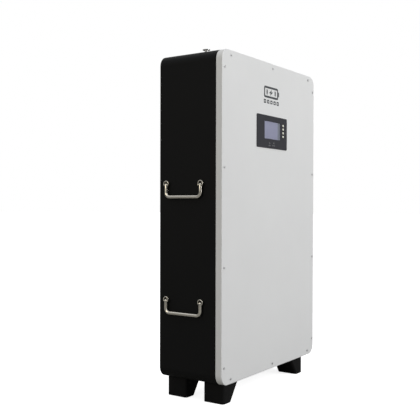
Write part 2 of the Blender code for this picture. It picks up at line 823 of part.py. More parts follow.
MATERIALS = {
    "case": ((0.012, 0.012, 0.014), 0.45, 0.0),
    "cover": ((0.62, 0.61, 0.59), 0.42, 0.0),
    "rubber": ((0.02, 0.02, 0.02), 0.8, 0.0),
    "foot": ((0.012, 0.012, 0.014), 0.45, 0.0),
    "handle": ((0.60, 0.57, 0.52), 0.28, 1.0),
    "screw": ((0.45, 0.45, 0.44), 0.35, 1.0),
    "bezel": ((0.030, 0.030, 0.034), 0.35, 0.0),
    "window": ((0.22, 0.23, 0.32), 0.12, 0.0),
    "screen": ((0.16, 0.17, 0.20), 0.4, 0.0),
    "board": ((0.02, 0.16, 0.07), 0.5, 0.0),
    "key": ((0.75, 0.74, 0.62), 0.45, 0.0),
    "light": ((0.5, 0.52, 0.5), 0.3, 0.0),
    "steel": ((0.55, 0.55, 0.54), 0.3, 1.0),
    "positive": ((0.75, 0.16, 0.02), 0.45, 0.0),
    "negative": ((0.02, 0.02, 0.022), 0.45, 0.0),
    "brass": ((0.70, 0.50, 0.22), 0.3, 1.0),
    "breaker": ((0.03, 0.03, 0.034), 0.5, 0.0),
    "toggle": ((0.05, 0.30, 0.08), 0.45, 0.0),
    "port": ((0.03, 0.03, 0.034), 0.5, 0.0),
    "cell": ((0.05, 0.12, 0.36), 0.45, 0.0),
    "aluminium": ((0.55, 0.56, 0.57), 0.4, 1.0),
    "copper": ((0.72, 0.38, 0.22), 0.3, 1.0),
}


def main():
    clear_scene()
    materials = {name: make_material(name, *values) for name, values in MATERIALS.items()}
    build_case(materials)
    build_cover(materials)
    build_gasket(materials)
    build_screws(materials)
    build_feet(materials)
    build_handles(materials)
    build_display(materials)
    build_keys(materials)
    build_lights(materials)
    build_valve(materials)
    build_power_socket("negative_socket", NEGATIVE_PLACE, materials, materials["negative"])
    build_power_socket("positive_socket", POSITIVE_PLACE, materials, materials["positive"])
    build_breaker(materials)
    build_power_button(materials)
    build_ports(materials)
    build_earth_stud(materials)
    build_cell_modules(materials)
    build_battery_manager(materials)
    build_busbar(materials)


main()
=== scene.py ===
# %% [markdown]
# # A floor-standing battery pack
# This lesson dresses the measured model of a lithium battery pack: a black sheet-steel
# case on four feet, a painted front cover with a small display, folding handles on the
# sides and the electrical fittings on top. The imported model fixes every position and
# size, so each piece below is measured from it and takes its place.

# %% Load the measured model
import json
import math

import bmesh
import bpy
from mathutils import Matrix, Vector

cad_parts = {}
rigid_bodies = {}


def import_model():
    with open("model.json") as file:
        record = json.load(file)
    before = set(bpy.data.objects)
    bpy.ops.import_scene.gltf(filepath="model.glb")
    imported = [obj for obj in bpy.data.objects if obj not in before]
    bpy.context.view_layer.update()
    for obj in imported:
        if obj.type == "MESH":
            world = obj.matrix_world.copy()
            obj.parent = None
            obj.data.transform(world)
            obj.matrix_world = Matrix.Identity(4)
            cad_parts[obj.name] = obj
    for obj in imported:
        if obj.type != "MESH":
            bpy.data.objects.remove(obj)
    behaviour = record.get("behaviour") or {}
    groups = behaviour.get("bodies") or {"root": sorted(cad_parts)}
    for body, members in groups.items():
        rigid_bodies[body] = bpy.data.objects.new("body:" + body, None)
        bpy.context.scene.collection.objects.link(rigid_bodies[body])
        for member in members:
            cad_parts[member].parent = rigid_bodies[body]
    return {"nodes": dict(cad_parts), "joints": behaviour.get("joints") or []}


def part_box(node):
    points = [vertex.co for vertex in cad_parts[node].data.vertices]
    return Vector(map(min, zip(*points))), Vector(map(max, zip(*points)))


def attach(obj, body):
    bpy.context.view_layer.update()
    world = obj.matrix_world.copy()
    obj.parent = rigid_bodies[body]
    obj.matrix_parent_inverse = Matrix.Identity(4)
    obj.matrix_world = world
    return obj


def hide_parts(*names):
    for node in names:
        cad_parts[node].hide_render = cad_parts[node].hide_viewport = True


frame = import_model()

for item in [bpy.data.objects.get(name) for name in ("Cube", "Light", "Camera")]:
    if item is not None and item.parent is None and item.name not in frame["nodes"]:
        bpy.data.objects.remove(item, do_unlink=True)

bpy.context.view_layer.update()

# %% [markdown]
# ## Where things are
# The case and its cover give the planes that everything else sits on. They are read
# from the model rather than typed in, so a change of size there moves the rest here.

# %% Planes of the case and the cover
case_low, case_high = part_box("rear_case")
cover_low, cover_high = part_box("front_cover")
SIDE_X = case_high.x
UNDERSIDE_Z, TOP_Z = case_low.z, case_high.z
MIDDLE_Z = (UNDERSIDE_Z + TOP_Z) / 2
CASE_FRONT_Y, REAR_Y = case_low.y, case_high.y
FRONT_Y, COVER_BACK_Y = cover_low.y, cover_high.y
CASE_WIDTH, CASE_HEIGHT = 2 * SIDE_X, TOP_Z - UNDERSIDE_Z
CORNER_RADIUS = 0.030
SHEET = 0.002  # thickness of the sheet steel
GAP = 0.0003  # clearance between pieces that only lie against each other
print(f"Case {CASE_WIDTH:.3f} x {CASE_HEIGHT:.3f} m, front face at y {FRONT_Y:.4f}")

# %% [markdown]
# ## Skins through rings
# Folded sheet, moulded plastic and turned metal can all be described by outlines that
# follow each other along an axis. A skin stretched through them gives clean quads, and
# the two ends are closed. Beside each round corner an outline has one more point on the
# straight, so that the corner's shading stops there and the flat stays flat.

# %% Outlines
ROUND = 48  # points in every outline


def rounded_outline(width, height, radius, low_radius=None):
    """A rectangle about (0, 0), anticlockwise, with low_radius for its two lower corners."""
    high_radius, low_radius = max(radius, 0.00005), max(low_radius or radius, 0.00005)
    steps = ROUND // 4 - 3
    room = min(width, height) / 2 - max(high_radius, low_radius)
    rest = min(0.0006, max(room, 0.0) * 0.4)
    points = []
    for corner, (across, up) in enumerate(((1, 1), (-1, 1), (-1, -1), (1, -1))):
        radius = high_radius if up > 0 else low_radius
        centre = Vector((across * (width / 2 - radius), up * (height / 2 - radius)))
        turn = math.pi / 2 * corner
        arc = [centre + radius * spoke(math.pi / 2 * (corner + step / steps))
               for step in range(steps + 1)]
        before = Vector((math.sin(turn), -math.cos(turn)))
        after = Vector((-math.cos(turn), -math.sin(turn)))
        points += [arc[0] + before * rest, *arc, arc[-1] + after * rest]
    return points


def spoke(angle):
    """The point at an angle on a circle of radius one."""
    return Vector((math.cos(angle), math.sin(angle)))


def circle(radius):
    return [radius * spoke(math.tau * i / ROUND) for i in range(ROUND)]


def hexagon(across_flats):
    """A hexagon with as many points in all as the circle has."""
    corners = [across_flats / math.sqrt(3) * spoke(math.pi / 3 * i) for i in range(7)]
    per_side = ROUND // 6
    return [
        corners[side].lerp(corners[side + 1], step / per_side)
        for side in range(6) for step in range(per_side)
    ]


def place(outline, axis, centre, along):
    """Set a flat outline across an axis of the model, at a distance along it."""
    u0, v0 = centre
    if axis == "X":
        return [Vector((along, u0 + u, v0 + v)) for u, v in outline]
    if axis == "Y":
        return [Vector((u0 + u, along, v0 + v)) for u, v in outline]
    return [Vector((u0 + u, v0 + v, along)) for u, v in outline]


# %% Skins
def skin(rings, hollow=False):
    """A skin through rings with equal numbers of points, with ends or, if hollow, a hole."""
    mesh = bmesh.new()
    loops = [[mesh.verts.new(point) for point in ring] for ring in rings]
    for near, far in zip(loops, loops[1:] + loops[:1] if hollow else loops[1:]):
        for i, vertex in enumerate(near):
            j = (i + 1) % len(near)
            mesh.faces.new((vertex, near[j], far[j], far[i]))
    if not hollow:
        mesh.faces.new(loops[0])
        mesh.faces.new(loops[-1])
    bmesh.ops.recalc_face_normals(mesh, faces=mesh.faces)
    return mesh


def stack(steps, axis, centre, start=0.0):
    """The skin of (outline, distance past start) pairs; a number stands for a circle's radius."""
    return skin([
        place(shape if isinstance(shape, list) else circle(shape), axis, centre, start + along)
        for shape, along in steps
    ])


def punch(outline, axis, centre, start, end):
    """A straight solid with one outline, such as a hole to be cut or a thin plate."""
    return skin([place(outline, axis, centre, along) for along in (start, end)])


def joined(meshes, whole=None):
    """All the meshes in one, added to the mesh whole if there is one."""
    if whole is None:
        whole = bmesh.new()
    for mesh in meshes:
        part = bpy.data.meshes.new("part")
        mesh.to_mesh(part)
        mesh.free()
        whole.from_mesh(part)
        bpy.data.meshes.remove(part)
    return whole


# %% Pieces
def raw_object(name, mesh):
    data = bpy.data.meshes.new(name)
    mesh.to_mesh(data)
    mesh.free()
    piece = bpy.data.objects.new(name, data)
    bpy.context.scene.collection.objects.link(piece)
    return piece


def settle(piece):
    """Replace a piece's mesh by what its modifiers make of it, and remove them."""
    graph = bpy.context.evaluated_depsgraph_get()
    mesh = bpy.data.meshes.new_from_object(piece.evaluated_get(graph))
    piece.modifiers.clear()
    piece.data = mesh


def cut(piece, cutter):
    """Take the cutter's solids out of a piece."""
    tool = raw_object("cutter", cutter)
    boolean = piece.modifiers.new("cut", "BOOLEAN")
    boolean.operation, boolean.solver, boolean.object = "DIFFERENCE", "EXACT", tool
    settle(piece)
    bpy.data.objects.remove(tool, do_unlink=True)


def finish_piece(piece, finish, body, nodes, sharp=32):
    """Shade, paint and hang a piece on its body in place of the nodes that it stands for."""
    piece.data.materials.clear()
    piece.data.materials.append(FINISHES[finish])
    piece.data.shade_smooth()
    piece.data.set_sharp_from_angle(angle=math.radians(sharp))
    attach(piece, body)
    if nodes:
        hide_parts(*nodes)
    print(f"{piece.name}: {len(piece.data.polygons)} faces on {body}")
    return piece


# %% [markdown]
# ## Effects that many finishes share
# Paint, plastic and plated metal all need the same few effects at their own strengths:
# a fine relief with uneven colour, edges rubbed brighter, and dust that settles on what
# faces up. Each is a node group with named inputs, made once and placed in every
# material. The groups hand out colours and normals; the shader stays in the material.

# %% A small hand for node trees
def new_group(name, inputs, outputs):
    group = bpy.data.node_groups.new(name, "ShaderNodeTree")
    kinds = {"c": "NodeSocketColor", "f": "NodeSocketFloat", "v": "NodeSocketVector"}
    for title, kind, value in inputs:
        socket = group.interface.new_socket(title, in_out="INPUT", socket_type=kinds[kind])
        socket.default_value = value
    for title, kind in outputs:
        group.interface.new_socket(title, in_out="OUTPUT", socket_type=kinds[kind])
    return group, group.nodes.new("NodeGroupInput"), group.nodes.new("NodeGroupOutput")


def add_node(tree, kind, links=(), **settings):
    """Add a node; settings are its properties, links are (input, source socket or value)."""
    node = tree.nodes.new(kind)
    for key, value in settings.items():
        setattr(node, key, value)
    for key, source in links:
        socket = node.inputs[key]
        if isinstance(source, bpy.types.NodeSocket):
            tree.links.new(source, socket)
        else:
            socket.default_value = source
    return node


def math_node(tree, operation, first, second=0.5, clamp=False):
    return add_node(
        tree, "ShaderNodeMath", ((0, first), (1, second)), operation=operation, use_clamp=clamp
    ).outputs[0]


def mix_colour(tree, factor, first, second):
    """A colour between two others; inputs 6 and 7 are the Mix node's colour sockets."""
    return add_node(
        tree, "ShaderNodeMix", ((0, factor), (6, first), (7, second)), data_type="RGBA"
    ).outputs[2]


def object_place(tree):
    return add_node(tree, "ShaderNodeTexCoord").outputs["Object"]


def ramp_between(tree, value, start, end):
    """A value that goes from 0 at start to 1 at end."""
    return add_node(
        tree, "ShaderNodeMapRange", (("Value", value), ("From Min", start), ("From Max", end))
    ).outputs["Result"]


def noise(tree, where, scale, detail):
    return add_node(
        tree, "ShaderNodeTexNoise", (("Vector", where), ("Scale", scale), ("Detail", detail))
    ).outputs["Fac"]


# %% Grain: uneven colour, uneven gloss and a fine relief
grain, g_in, g_out = new_group(
    "Grain",
    (
        ("Colour", "c", (0.5, 0.5, 0.5, 1)), ("Second colour", "c", (0.4, 0.4, 0.4, 1)),
        ("Mottle scale", "f", 12.0), ("Grain scale", "f", 900.0), ("Relief", "f", 0.00003),
        ("Roughness", "f", 0.5), ("Roughness spread", "f", 0.1), ("Stretch", "v", (1, 1, 1)),
    ),
    (("Colour", "c"), ("Roughness", "f"), ("Normal", "v"), ("Mottle", "f")),
)
where = object_place(grain)
drawn = add_node(
    grain, "ShaderNodeVectorMath", ((0, where), (1, g_in.outputs["Stretch"])), operation="MULTIPLY"
).outputs[0]
mottle = ramp_between(grain, noise(grain, where, g_in.outputs["Mottle scale"], 4.0), 0.3, 0.7)
fine = noise(grain, drawn, g_in.outputs["Grain scale"], 3.0)
relief = add_node(
    grain, "ShaderNodeBump",
    (("Height", fine), ("Distance", g_in.outputs["Relief"]), ("Strength", 1.0)),
).outputs["Normal"]
swing = math_node(grain, "SUBTRACT", mottle, 0.5)
swing = math_node(grain, "MULTIPLY", swing, g_in.outputs["Roughness spread"])
rough = math_node(grain, "ADD", swing, g_in.outputs["Roughness"], clamp=True)
tint = mix_colour(grain, mottle, g_in.outputs["Colour"], g_in.outputs["Second colour"])
results = (("Colour", tint), ("Roughness", rough), ("Normal", relief), ("Mottle", mottle))
for title, source in results:
    grain.links.new(source, g_out.inputs[title])
print("Group Grain:", len(grain.nodes), "nodes")

# %% Edge wear: a brighter rub where the surface turns a corner
wear, w_in, w_out = new_group(
    "Edge wear",
    (("Colour", "c", (0.5, 0.5, 0.5, 1)), ("Worn colour", "c", (0.7, 0.7, 0.7, 1)),
     ("Width", "f", 0.0012), ("Amount", "f", 0.5)),
    (("Colour", "c"), ("Mask", "f")),
)
soft_normal = add_node(
    wear, "ShaderNodeBevel", (("Radius", w_in.outputs["Width"]),), samples=4
).outputs[0]
true_normal = add_node(wear, "ShaderNodeNewGeometry").outputs["Normal"]
turning = add_node(
    wear, "ShaderNodeVectorMath", ((0, soft_normal), (1, true_normal)), operation="DOT_PRODUCT"
).outputs["Value"]
turning = ramp_between(wear, turning, 0.995, 0.80)
patchy = ramp_between(wear, noise(wear, object_place(wear), 160.0, 5.0), 0.42, 0.62)
rub = math_node(wear, "MULTIPLY", turning, patchy)
rub = math_node(wear, "MULTIPLY", rub, w_in.outputs["Amount"], clamp=True)
worn = mix_colour(wear, rub, w_in.outputs["Colour"], w_in.outputs["Worn colour"])
wear.links.new(worn, w_out.inputs["Colour"])
wear.links.new(rub, w_out.inputs["Mask"])
print("Group Edge wear:", len(wear.nodes), "nodes")

# %% Dust: a pale film on what faces up
dust, d_in, d_out = new_group(
    "Dust",
    (("Colour", "c", (0.5, 0.5, 0.5, 1)), ("Dust colour", "c", (0.30, 0.29, 0.27, 1)),
     ("Amount", "f", 0.2)),
    (("Colour", "c"), ("Mask", "f")),
)
facing = add_node(
    dust, "ShaderNodeSeparateXYZ", ((0, add_node(dust, "ShaderNodeNewGeometry").outputs["Normal"]),)
).outputs["Z"]
specks = noise(dust, object_place(dust), 55.0, 6.0)
film = math_node(dust, "MULTIPLY", ramp_between(dust, facing, 0.5, 1.0), specks)
film = math_node(dust, "MULTIPLY", film, d_in.outputs["Amount"], clamp=True)
dusted = mix_colour(dust, film, d_in.outputs["Colour"], d_in.outputs["Dust colour"])
dust.links.new(dusted, d_out.inputs["Colour"])
dust.links.new(film, d_out.inputs["Mask"])
print("Group Dust:", len(dust.nodes), "nodes")

# %% [markdown]
# ## Finishes
# Each finish is a material of its own: powder coat is nearly black, with a fine orange
# peel; the cover's paint is a warm off-white satin; the handles are satin nickel. They
# differ in their numbers more than in their wiring, so one maker wires the groups to the
# shader and a table holds the numbers, one line for each finish of the record.

# %% The maker of finishes
FINISHES = {}
MICRON = 0.000001


def place_group(tree, group, values):
    return add_node(tree, "ShaderNodeGroup", values.items(), node_tree=group)


def make_finish(name, colour, second, rough, spread, scales, relief, metal=0.0, specular=0.5,
                wear_colour=None, wear_amount=0.0, dusty=0.0, stretch=(1, 1, 1), coat=0.0,
                pattern=None):
    """Wire Grain, a pattern of the piece's own, Edge wear and Dust to a Principled shader.

    scales are the mottle's and the grain's, per metre, and relief is in micrometres.
    """
    material = bpy.data.materials.new(name)
    material.use_nodes = True
    tree = material.node_tree
    shader = tree.nodes["Principled BSDF"]
    base = place_group(tree, grain, {
        "Colour": (*colour, 1), "Second colour": (*second, 1), "Mottle scale": scales[0],
        "Grain scale": scales[1], "Relief": relief * MICRON, "Roughness": rough,
        "Roughness spread": spread, "Stretch": stretch,
    })
    shade = base.outputs["Colour"]
    if pattern:
        shade = pattern(tree, shade)
    if wear_amount:
        shade = place_group(tree, wear, {
            "Colour": shade, "Worn colour": (*wear_colour, 1), "Amount": wear_amount,
        }).outputs["Colour"]
    if dusty:
        shade = place_group(tree, dust, {"Colour": shade, "Amount": dusty}).outputs["Colour"]
    tree.links.new(shade, shader.inputs["Base Color"])
    tree.links.new(base.outputs["Roughness"], shader.inputs["Roughness"])
    tree.links.new(base.outputs["Normal"], shader.inputs["Normal"])
    shader.inputs["Metallic"].default_value = metal
    shader.inputs["Specular IOR Level"].default_value = specular
    shader.inputs["Coat Weight"].default_value = coat
    shader.inputs["Coat Roughness"].default_value = 0.15
    FINISHES[name] = material
    return shader


# %% [markdown]
# ### Patterns that belong to one finish
# The screen is a liquid-crystal panel whose right-hand strip is greyer, the board has
# copper tracks under its green lacquer, and a cell's sleeve has a faint painted vertical sheen.
# Each is drawn from object coordinates, so it keeps its place on the piece.

# %% Patterns
screen_low, screen_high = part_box("screen_module")


def object_axis(tree, axis):
    """The coordinate along one axis of the model."""
    return add_node(tree, "ShaderNodeSeparateXYZ", ((0, object_place(tree)),)).outputs[axis]


def screen_pattern(tree, shade):
    """Grey strip on the right, a slight fall of light downward, and faint columns."""
    strip_start = screen_high.x - 0.0175
    strip = ramp_between(tree, object_axis(tree, "X"), strip_start - 0.002, strip_start + 0.002)
    shade = mix_colour(tree, strip, shade, (0.235, 0.262, 0.300, 1))
    columns = add_node(
        tree, "ShaderNodeTexWave",
        (("Vector", object_place(tree)), ("Scale", 90.0), ("Distortion", 0.0)), bands_direction="X",
    )
    faint = math_node(tree, "MULTIPLY", columns.outputs["Fac"], 0.08)
    shade = mix_colour(tree, faint, shade, (0.50, 0.51, 0.66, 1))
    fall = ramp_between(tree, object_axis(tree, "Z"), screen_high.z, screen_low.z)
    fall = math_node(tree, "MULTIPLY", fall, 0.22)
    return mix_colour(tree, fall, shade, (0.22, 0.225, 0.33, 1))


def track_pattern(tree, shade):
    """Copper tracks: the borders of square cells, a hair lighter than the lacquer."""
    cells = add_node(
        tree, "ShaderNodeTexVoronoi",
        (("Vector", object_place(tree)), ("Scale", 260.0), ("Randomness", 0.0)),
        feature="DISTANCE_TO_EDGE", distance="EUCLIDEAN",
    )
    track = ramp_between(tree, cells.outputs["Distance"], 0.10, 0.06)
    track = math_node(tree, "MULTIPLY", track, 0.5)
    return mix_colour(tree, track, shade, (0.10, 0.28, 0.09, 1))


def sleeve_painted_sheen(tree, shade):
    """A cell's sleeve: soft upright bands of painted sheen, lighter than the film."""
    bands = add_node(
        tree, "ShaderNodeTexWave",
        (("Vector", object_place(tree)), ("Scale", 4.4), ("Distortion", 0.6), ("Detail", 2.0)),
        bands_direction="Z",
    )
    faint = math_node(tree, "MULTIPLY", bands.outputs["Fac"], 0.25)
    return mix_colour(tree, faint, shade, (0.03, 0.12, 0.38, 1))


def cover_painted_shade(tree, shade):
    """Painted shade: the cover's paint is a touch greyer toward its foot, where less light reaches
    it.
    """
    low = ramp_between(tree, object_axis(tree, "Z"), TOP_Z, UNDERSIDE_Z)
    low = math_node(tree, "MULTIPLY", low, 0.45)
    return mix_colour(tree, low, shade, (0.640, 0.642, 0.645, 1))


# %% The table of finishes
make_finish("case_black", (0.0040, 0.0041, 0.0043), (0.0050, 0.0051, 0.0053), 0.60, 0.08,
            (9, 1500), 6, specular=0.12, wear_colour=(0.03, 0.03, 0.03), wear_amount=0.35,
            dusty=0.10)
make_finish("foot_black", (0.0048, 0.0048, 0.0050), (0.0062, 0.0062, 0.0064), 0.60, 0.12,
            (30, 1300), 8, specular=0.12, wear_colour=(0.22, 0.22, 0.22), wear_amount=0.04,
            dusty=0.12)
# The cover's finish carries painted shade, greyer toward the cover's foot.
make_finish("cover_white", (0.800, 0.802, 0.800), (0.765, 0.767, 0.765), 0.42, 0.08, (5, 1100), 4,
            specular=0.40, wear_colour=(0.86, 0.86, 0.85), wear_amount=0.3, dusty=0.15,
            pattern=cover_painted_shade)
make_finish("gasket_rubber", (0.012, 0.012, 0.012), (0.020, 0.020, 0.020), 0.82, 0.1,
            (60, 2200), 40, specular=0.3)
make_finish("handle_steel", (0.74, 0.70, 0.62), (0.64, 0.61, 0.54), 0.20, 0.10, (90, 1500), 0.6,
            metal=1.0, wear_colour=(0.86, 0.84, 0.80), wear_amount=0.4)
make_finish("screw_steel", (0.62, 0.62, 0.62), (0.50, 0.50, 0.51), 0.42, 0.15, (400, 1500), 1,
            metal=1.0, wear_colour=(0.7, 0.7, 0.7), wear_amount=0.5)
make_finish("plated_steel", (0.62, 0.61, 0.59), (0.50, 0.50, 0.49), 0.26, 0.15, (150, 1500), 0.8,
            metal=1.0, wear_colour=(0.8, 0.8, 0.78), wear_amount=0.5, dusty=0.2)
make_finish("bezel_black", (0.030, 0.030, 0.037), (0.036, 0.036, 0.043), 0.58, 0.10, (40, 1800), 8,
            specular=0.25, wear_colour=(0.10, 0.10, 0.11), wear_amount=0.4)
make_finish("screen_grey", (0.436, 0.447, 0.630), (0.416, 0.427, 0.600), 0.35, 0.05, (30, 2500), 2,
            pattern=screen_pattern)
make_finish("board_green", (0.010, 0.090, 0.030), (0.014, 0.11, 0.038), 0.40, 0.1, (90, 1400), 20,
            coat=0.4, pattern=track_pattern)
make_finish("key_cream", (0.90, 0.89, 0.78), (0.85, 0.84, 0.73), 0.42, 0.1, (300, 3000), 10,
            wear_colour=(0.9, 0.9, 0.86), wear_amount=0.5)
make_finish("socket_orange", (0.80, 0.17, 0.012), (0.70, 0.14, 0.010), 0.45, 0.12, (80, 1900), 20,
            wear_colour=(0.86, 0.34, 0.12), wear_amount=0.4, dusty=0.25)
make_finish("socket_black", (0.016, 0.016, 0.017), (0.024, 0.024, 0.025), 0.48, 0.12,
            (80, 1900), 20, wear_colour=(0.07, 0.07, 0.07), wear_amount=0.4, dusty=0.25)
make_finish("contact_brass", (0.80, 0.60, 0.28), (0.66, 0.48, 0.21), 0.28, 0.15, (160, 1500), 1,
            metal=1.0, wear_colour=(0.92, 0.76, 0.45), wear_amount=0.5)
make_finish("breaker_black", (0.020, 0.020, 0.021), (0.030, 0.030, 0.031), 0.55, 0.12,
            (70, 1700), 25, wear_colour=(0.08, 0.08, 0.08), wear_amount=0.4, dusty=0.25)
make_finish("toggle_green", (0.030, 0.25, 0.075), (0.024, 0.20, 0.06), 0.42, 0.1, (120, 2000), 15,
            wear_colour=(0.10, 0.36, 0.16), wear_amount=0.5, dusty=0.15)
make_finish("port_black", (0.018, 0.018, 0.018), (0.026, 0.026, 0.026), 0.50, 0.12, (90, 1900), 20,
            wear_colour=(0.07, 0.07, 0.07), wear_amount=0.4, dusty=0.2)
# The cell wrap carries a painted sheen in soft lighter bands.
make_finish("cell_wrap", (0.020, 0.085, 0.30), (0.016, 0.070, 0.25), 0.32, 0.12, (25, 700), 30,
            coat=0.3, pattern=sleeve_painted_sheen)
make_finish("manager_aluminium", (0.66, 0.67, 0.68), (0.58, 0.59, 0.60), 0.36, 0.14, (14, 900), 2,
            metal=1.0, stretch=(0.08, 1, 1), wear_colour=(0.8, 0.8, 0.8), wear_amount=0.4)
make_finish("busbar_copper", (0.80, 0.36, 0.20), (0.62, 0.26, 0.15), 0.32, 0.18, (30, 1200), 2,
            metal=1.0, stretch=(1, 1, 0.08), wear_colour=(0.93, 0.55, 0.38), wear_amount=0.5)
make_finish("print_grey", (0.050, 0.055, 0.060), (0.062, 0.067, 0.072), 0.55, 0.1, (90, 2500), 6)
make_finish("print_pale", (0.300, 0.300, 0.310), (0.230, 0.230, 0.240), 0.6, 0.1, (400, 2500), 6)
make_finish("strip_gloss", (0.010, 0.010, 0.011), (0.014, 0.014, 0.015), 0.25, 0.08, (60, 2200), 4,
            specular=0.4)
print(len(FINISHES), "finishes")

# %% [markdown]
# ### Clear pieces
# The window is a thin sheet of clear acrylic and the lights have small clear lenses. A
# thin sheet hardly bends what is behind it, so a low alpha lets the screen show through
# while the gloss stays on top. Uneven roughness keeps it from looking ideal.

# %% Window and lenses
window = make_finish("window_clear", (0.30, 0.31, 0.36), (0.26, 0.27, 0.32), 0.08, 0.08,
                     (140, 2600), 1, specular=0.6)
window.inputs["Alpha"].default_value = 0.14
lens = make_finish("light_clear", (0.30, 0.33, 0.30), (0.24, 0.26, 0.24), 0.12, 0.06,
                   (600, 2600), 2, specular=0.6)
lens.inputs["Transmission Weight"].default_value = 0.35
print("Clear:", window.id_data.name, lens.id_data.name)

# %% [markdown]
# ## Dress the model's own solids
# What is inside the case, the seal and the clear window already have the right shape in
# the model. They keep it and take their finish by the name of their slot.

# %% Finishes on the model's solids
for node in frame["nodes"].values():
    slot = node.material_slots[0]
    finish = FINISHES[slot.material.name.split(".")[0]]
    slot.link = "OBJECT"
    slot.material = finish
print(len(frame["nodes"]), "solids dressed")

# %% [markdown]
# ## The case
# The case is one wrapper of 2 mm steel with a pressed back: round corners seen from the
# front, small folds along the back and front edges, and a return flange that carries the
# seal. A skin through rounded rectangles follows it from the back, over the folds and
# round the flange to the inside. The back panel has a shallow pressed groove.

# %% Rings of the case
def case_ring(inset, along):
    outline = rounded_outline(
        CASE_WIDTH - 2 * inset, CASE_HEIGHT - 2 * inset, max(CORNER_RADIUS - inset, 0.001)
    )
    return place(outline, "Y", (0, MIDDLE_Z), along)


def quarter(radius, steps=6):
    """(inset from the side, depth behind the flat) round a fold, from flat to side."""
    angles = [math.pi / 2 * step / steps for step in range(steps + 1)]
    return [(radius * (1 - math.sin(a)), radius * (1 - math.cos(a))) for a in angles]


FOLD = 0.0025  # radius of the folds along the edges
REST = 0.0006  # flat left beside a fold, so that its shading ends there
FLANGE = 0.018  # width of the return flange under the cover
groove = [(0.0180, 0.0), (0.0172, 0.0), (0.0166, 0.0007), (0.0146, 0.0007), (0.0140, 0.0),
          (0.0132, 0.0)]
outside = [(inset, REAR_Y - depth) for inset, depth in groove]
outside += [(FOLD + REST, REAR_Y)]
outside += [(inset, REAR_Y - depth) for inset, depth in quarter(FOLD)]
outside += [(0.0, REAR_Y - FOLD - REST), (0.0, CASE_FRONT_Y + FOLD + REST)]
outside += [(inset, CASE_FRONT_Y + depth) for inset, depth in reversed(quarter(FOLD))]
outside += [(FOLD + REST, CASE_FRONT_Y), (FLANGE, CASE_FRONT_Y)]
inside = [(FLANGE, CASE_FRONT_Y + SHEET), (SHEET, CASE_FRONT_Y + SHEET), (SHEET, REAR_Y - SHEET)]
case = skin([case_ring(inset, along) for inset, along in outside + inside])
case = raw_object("case_shell", case)
print("Case rings:", len(outside) + len(inside))

# %% Openings for the fittings
def node_centre(node):
    low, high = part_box(node)
    return (low + high) / 2


def top_spot(node):
    middle = node_centre(node)
    return (middle.x, middle.y)


def face_spot(point):
    """A point of the model as seen from the front."""
    return (point.x, point.z)


OPENINGS = {
    "vent_valve": circle(0.0084),
    "positive_socket": circle(0.0134), "negative_socket": circle(0.0134),
    "communication_ports": rounded_outline(0.0626, 0.0186, 0.0018),
    "power_button_ring": circle(0.0099), "earth_stud": circle(0.0034),
    "breaker_body": rounded_outline(0.0356, 0.0476, 0.0028),
}
THROUGH = 0.006  # how far a hole's cutter reaches to each side of the sheet
cut(case, joined([
    punch(outline, "Z", top_spot(node), TOP_Z - THROUGH, TOP_Z + THROUGH)
    for node, outline in OPENINGS.items()
]))
finish_piece(case, "case_black", "enclosure", ["rear_case"])

# %% [markdown]
# ## The front cover
# The cover is a shallow tray: a flat face, a fold of about 2 mm all round and a rim 20 mm
# deep, painted off-white inside and out. It is made the same way as the case, and the
# holes for its screws and for the display are cut through the face.

# %% The cover's tray
COVER_FOLD = 0.0022
HEM = 0.0006  # radius of the rim's back edge
BEAD = 0.0016  # width of the rolled edge
DIP = 0.0004  # the rim lies this far inside the rolled edge
tray = [(COVER_FOLD + REST, FRONT_Y)]
tray += [(inset, FRONT_Y + depth) for inset, depth in quarter(COVER_FOLD, 8)]
tray += [(0.0, FRONT_Y + COVER_FOLD + REST), (DIP, FRONT_Y + COVER_FOLD + 4 * REST)]
tray += [(DIP, COVER_BACK_Y - BEAD - DIP), (0.0, COVER_BACK_Y - BEAD), (0.0, COVER_BACK_Y - HEM)]
tray += [(inset, COVER_BACK_Y - depth) for inset, depth in reversed(quarter(HEM, 3))]
tray += [(SHEET, COVER_BACK_Y), (SHEET, FRONT_Y + SHEET)]
cover = raw_object("cover_tray", skin([case_ring(inset, along) for inset, along in tray]))

screw_nodes = sorted(name for name in frame["nodes"] if name.startswith("cover_screw_"))
screw_places = [node_centre(name) for name in screw_nodes]
bezel_low, bezel_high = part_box("display_bezel")
bezel_middle = ((bezel_low.x + bezel_high.x) / 2, (bezel_low.z + bezel_high.z) / 2)
BEZEL_WIDTH, BEZEL_HEIGHT = bezel_high.x - bezel_low.x, bezel_high.z - bezel_low.z
holes = [(circle(0.0023), face_spot(spot)) for spot in screw_places]
holes.append((rounded_outline(BEZEL_WIDTH - 0.0146, BEZEL_HEIGHT - 0.0146, 0.003), bezel_middle))
cut(cover, joined([
    punch(outline, "Y", spot, FRONT_Y - 0.004, FRONT_Y + 0.004) for outline, spot in holes
]))
finish_piece(cover, "cover_white", "enclosure", ["front_cover"])

# %% The seal between the two
seal_low, seal_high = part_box("cover_gasket")
SEAL_WIDTH = 0.007
outer_edge = SIDE_X - seal_high.x
inner_edge = outer_edge + SEAL_WIDTH
seal = skin([case_ring(inset, along) for inset, along in (
    (outer_edge, seal_low.y), (outer_edge, seal_high.y),
    (inner_edge, seal_high.y), (inner_edge, seal_low.y),
)], hollow=True)
finish_piece(raw_object("cover_seal", seal), "gasket_rubber", "enclosure", ["cover_gasket"])

# %% [markdown]
# ## Fourteen cover screws
# The screws are all one part: a low pan head with a six-sided socket. Placing fourteen
# copies by hand would be slow to change, so Geometry Nodes set one screw on each point
# and turn it by a random amount, as a screwdriver leaves them. The seed is fixed.

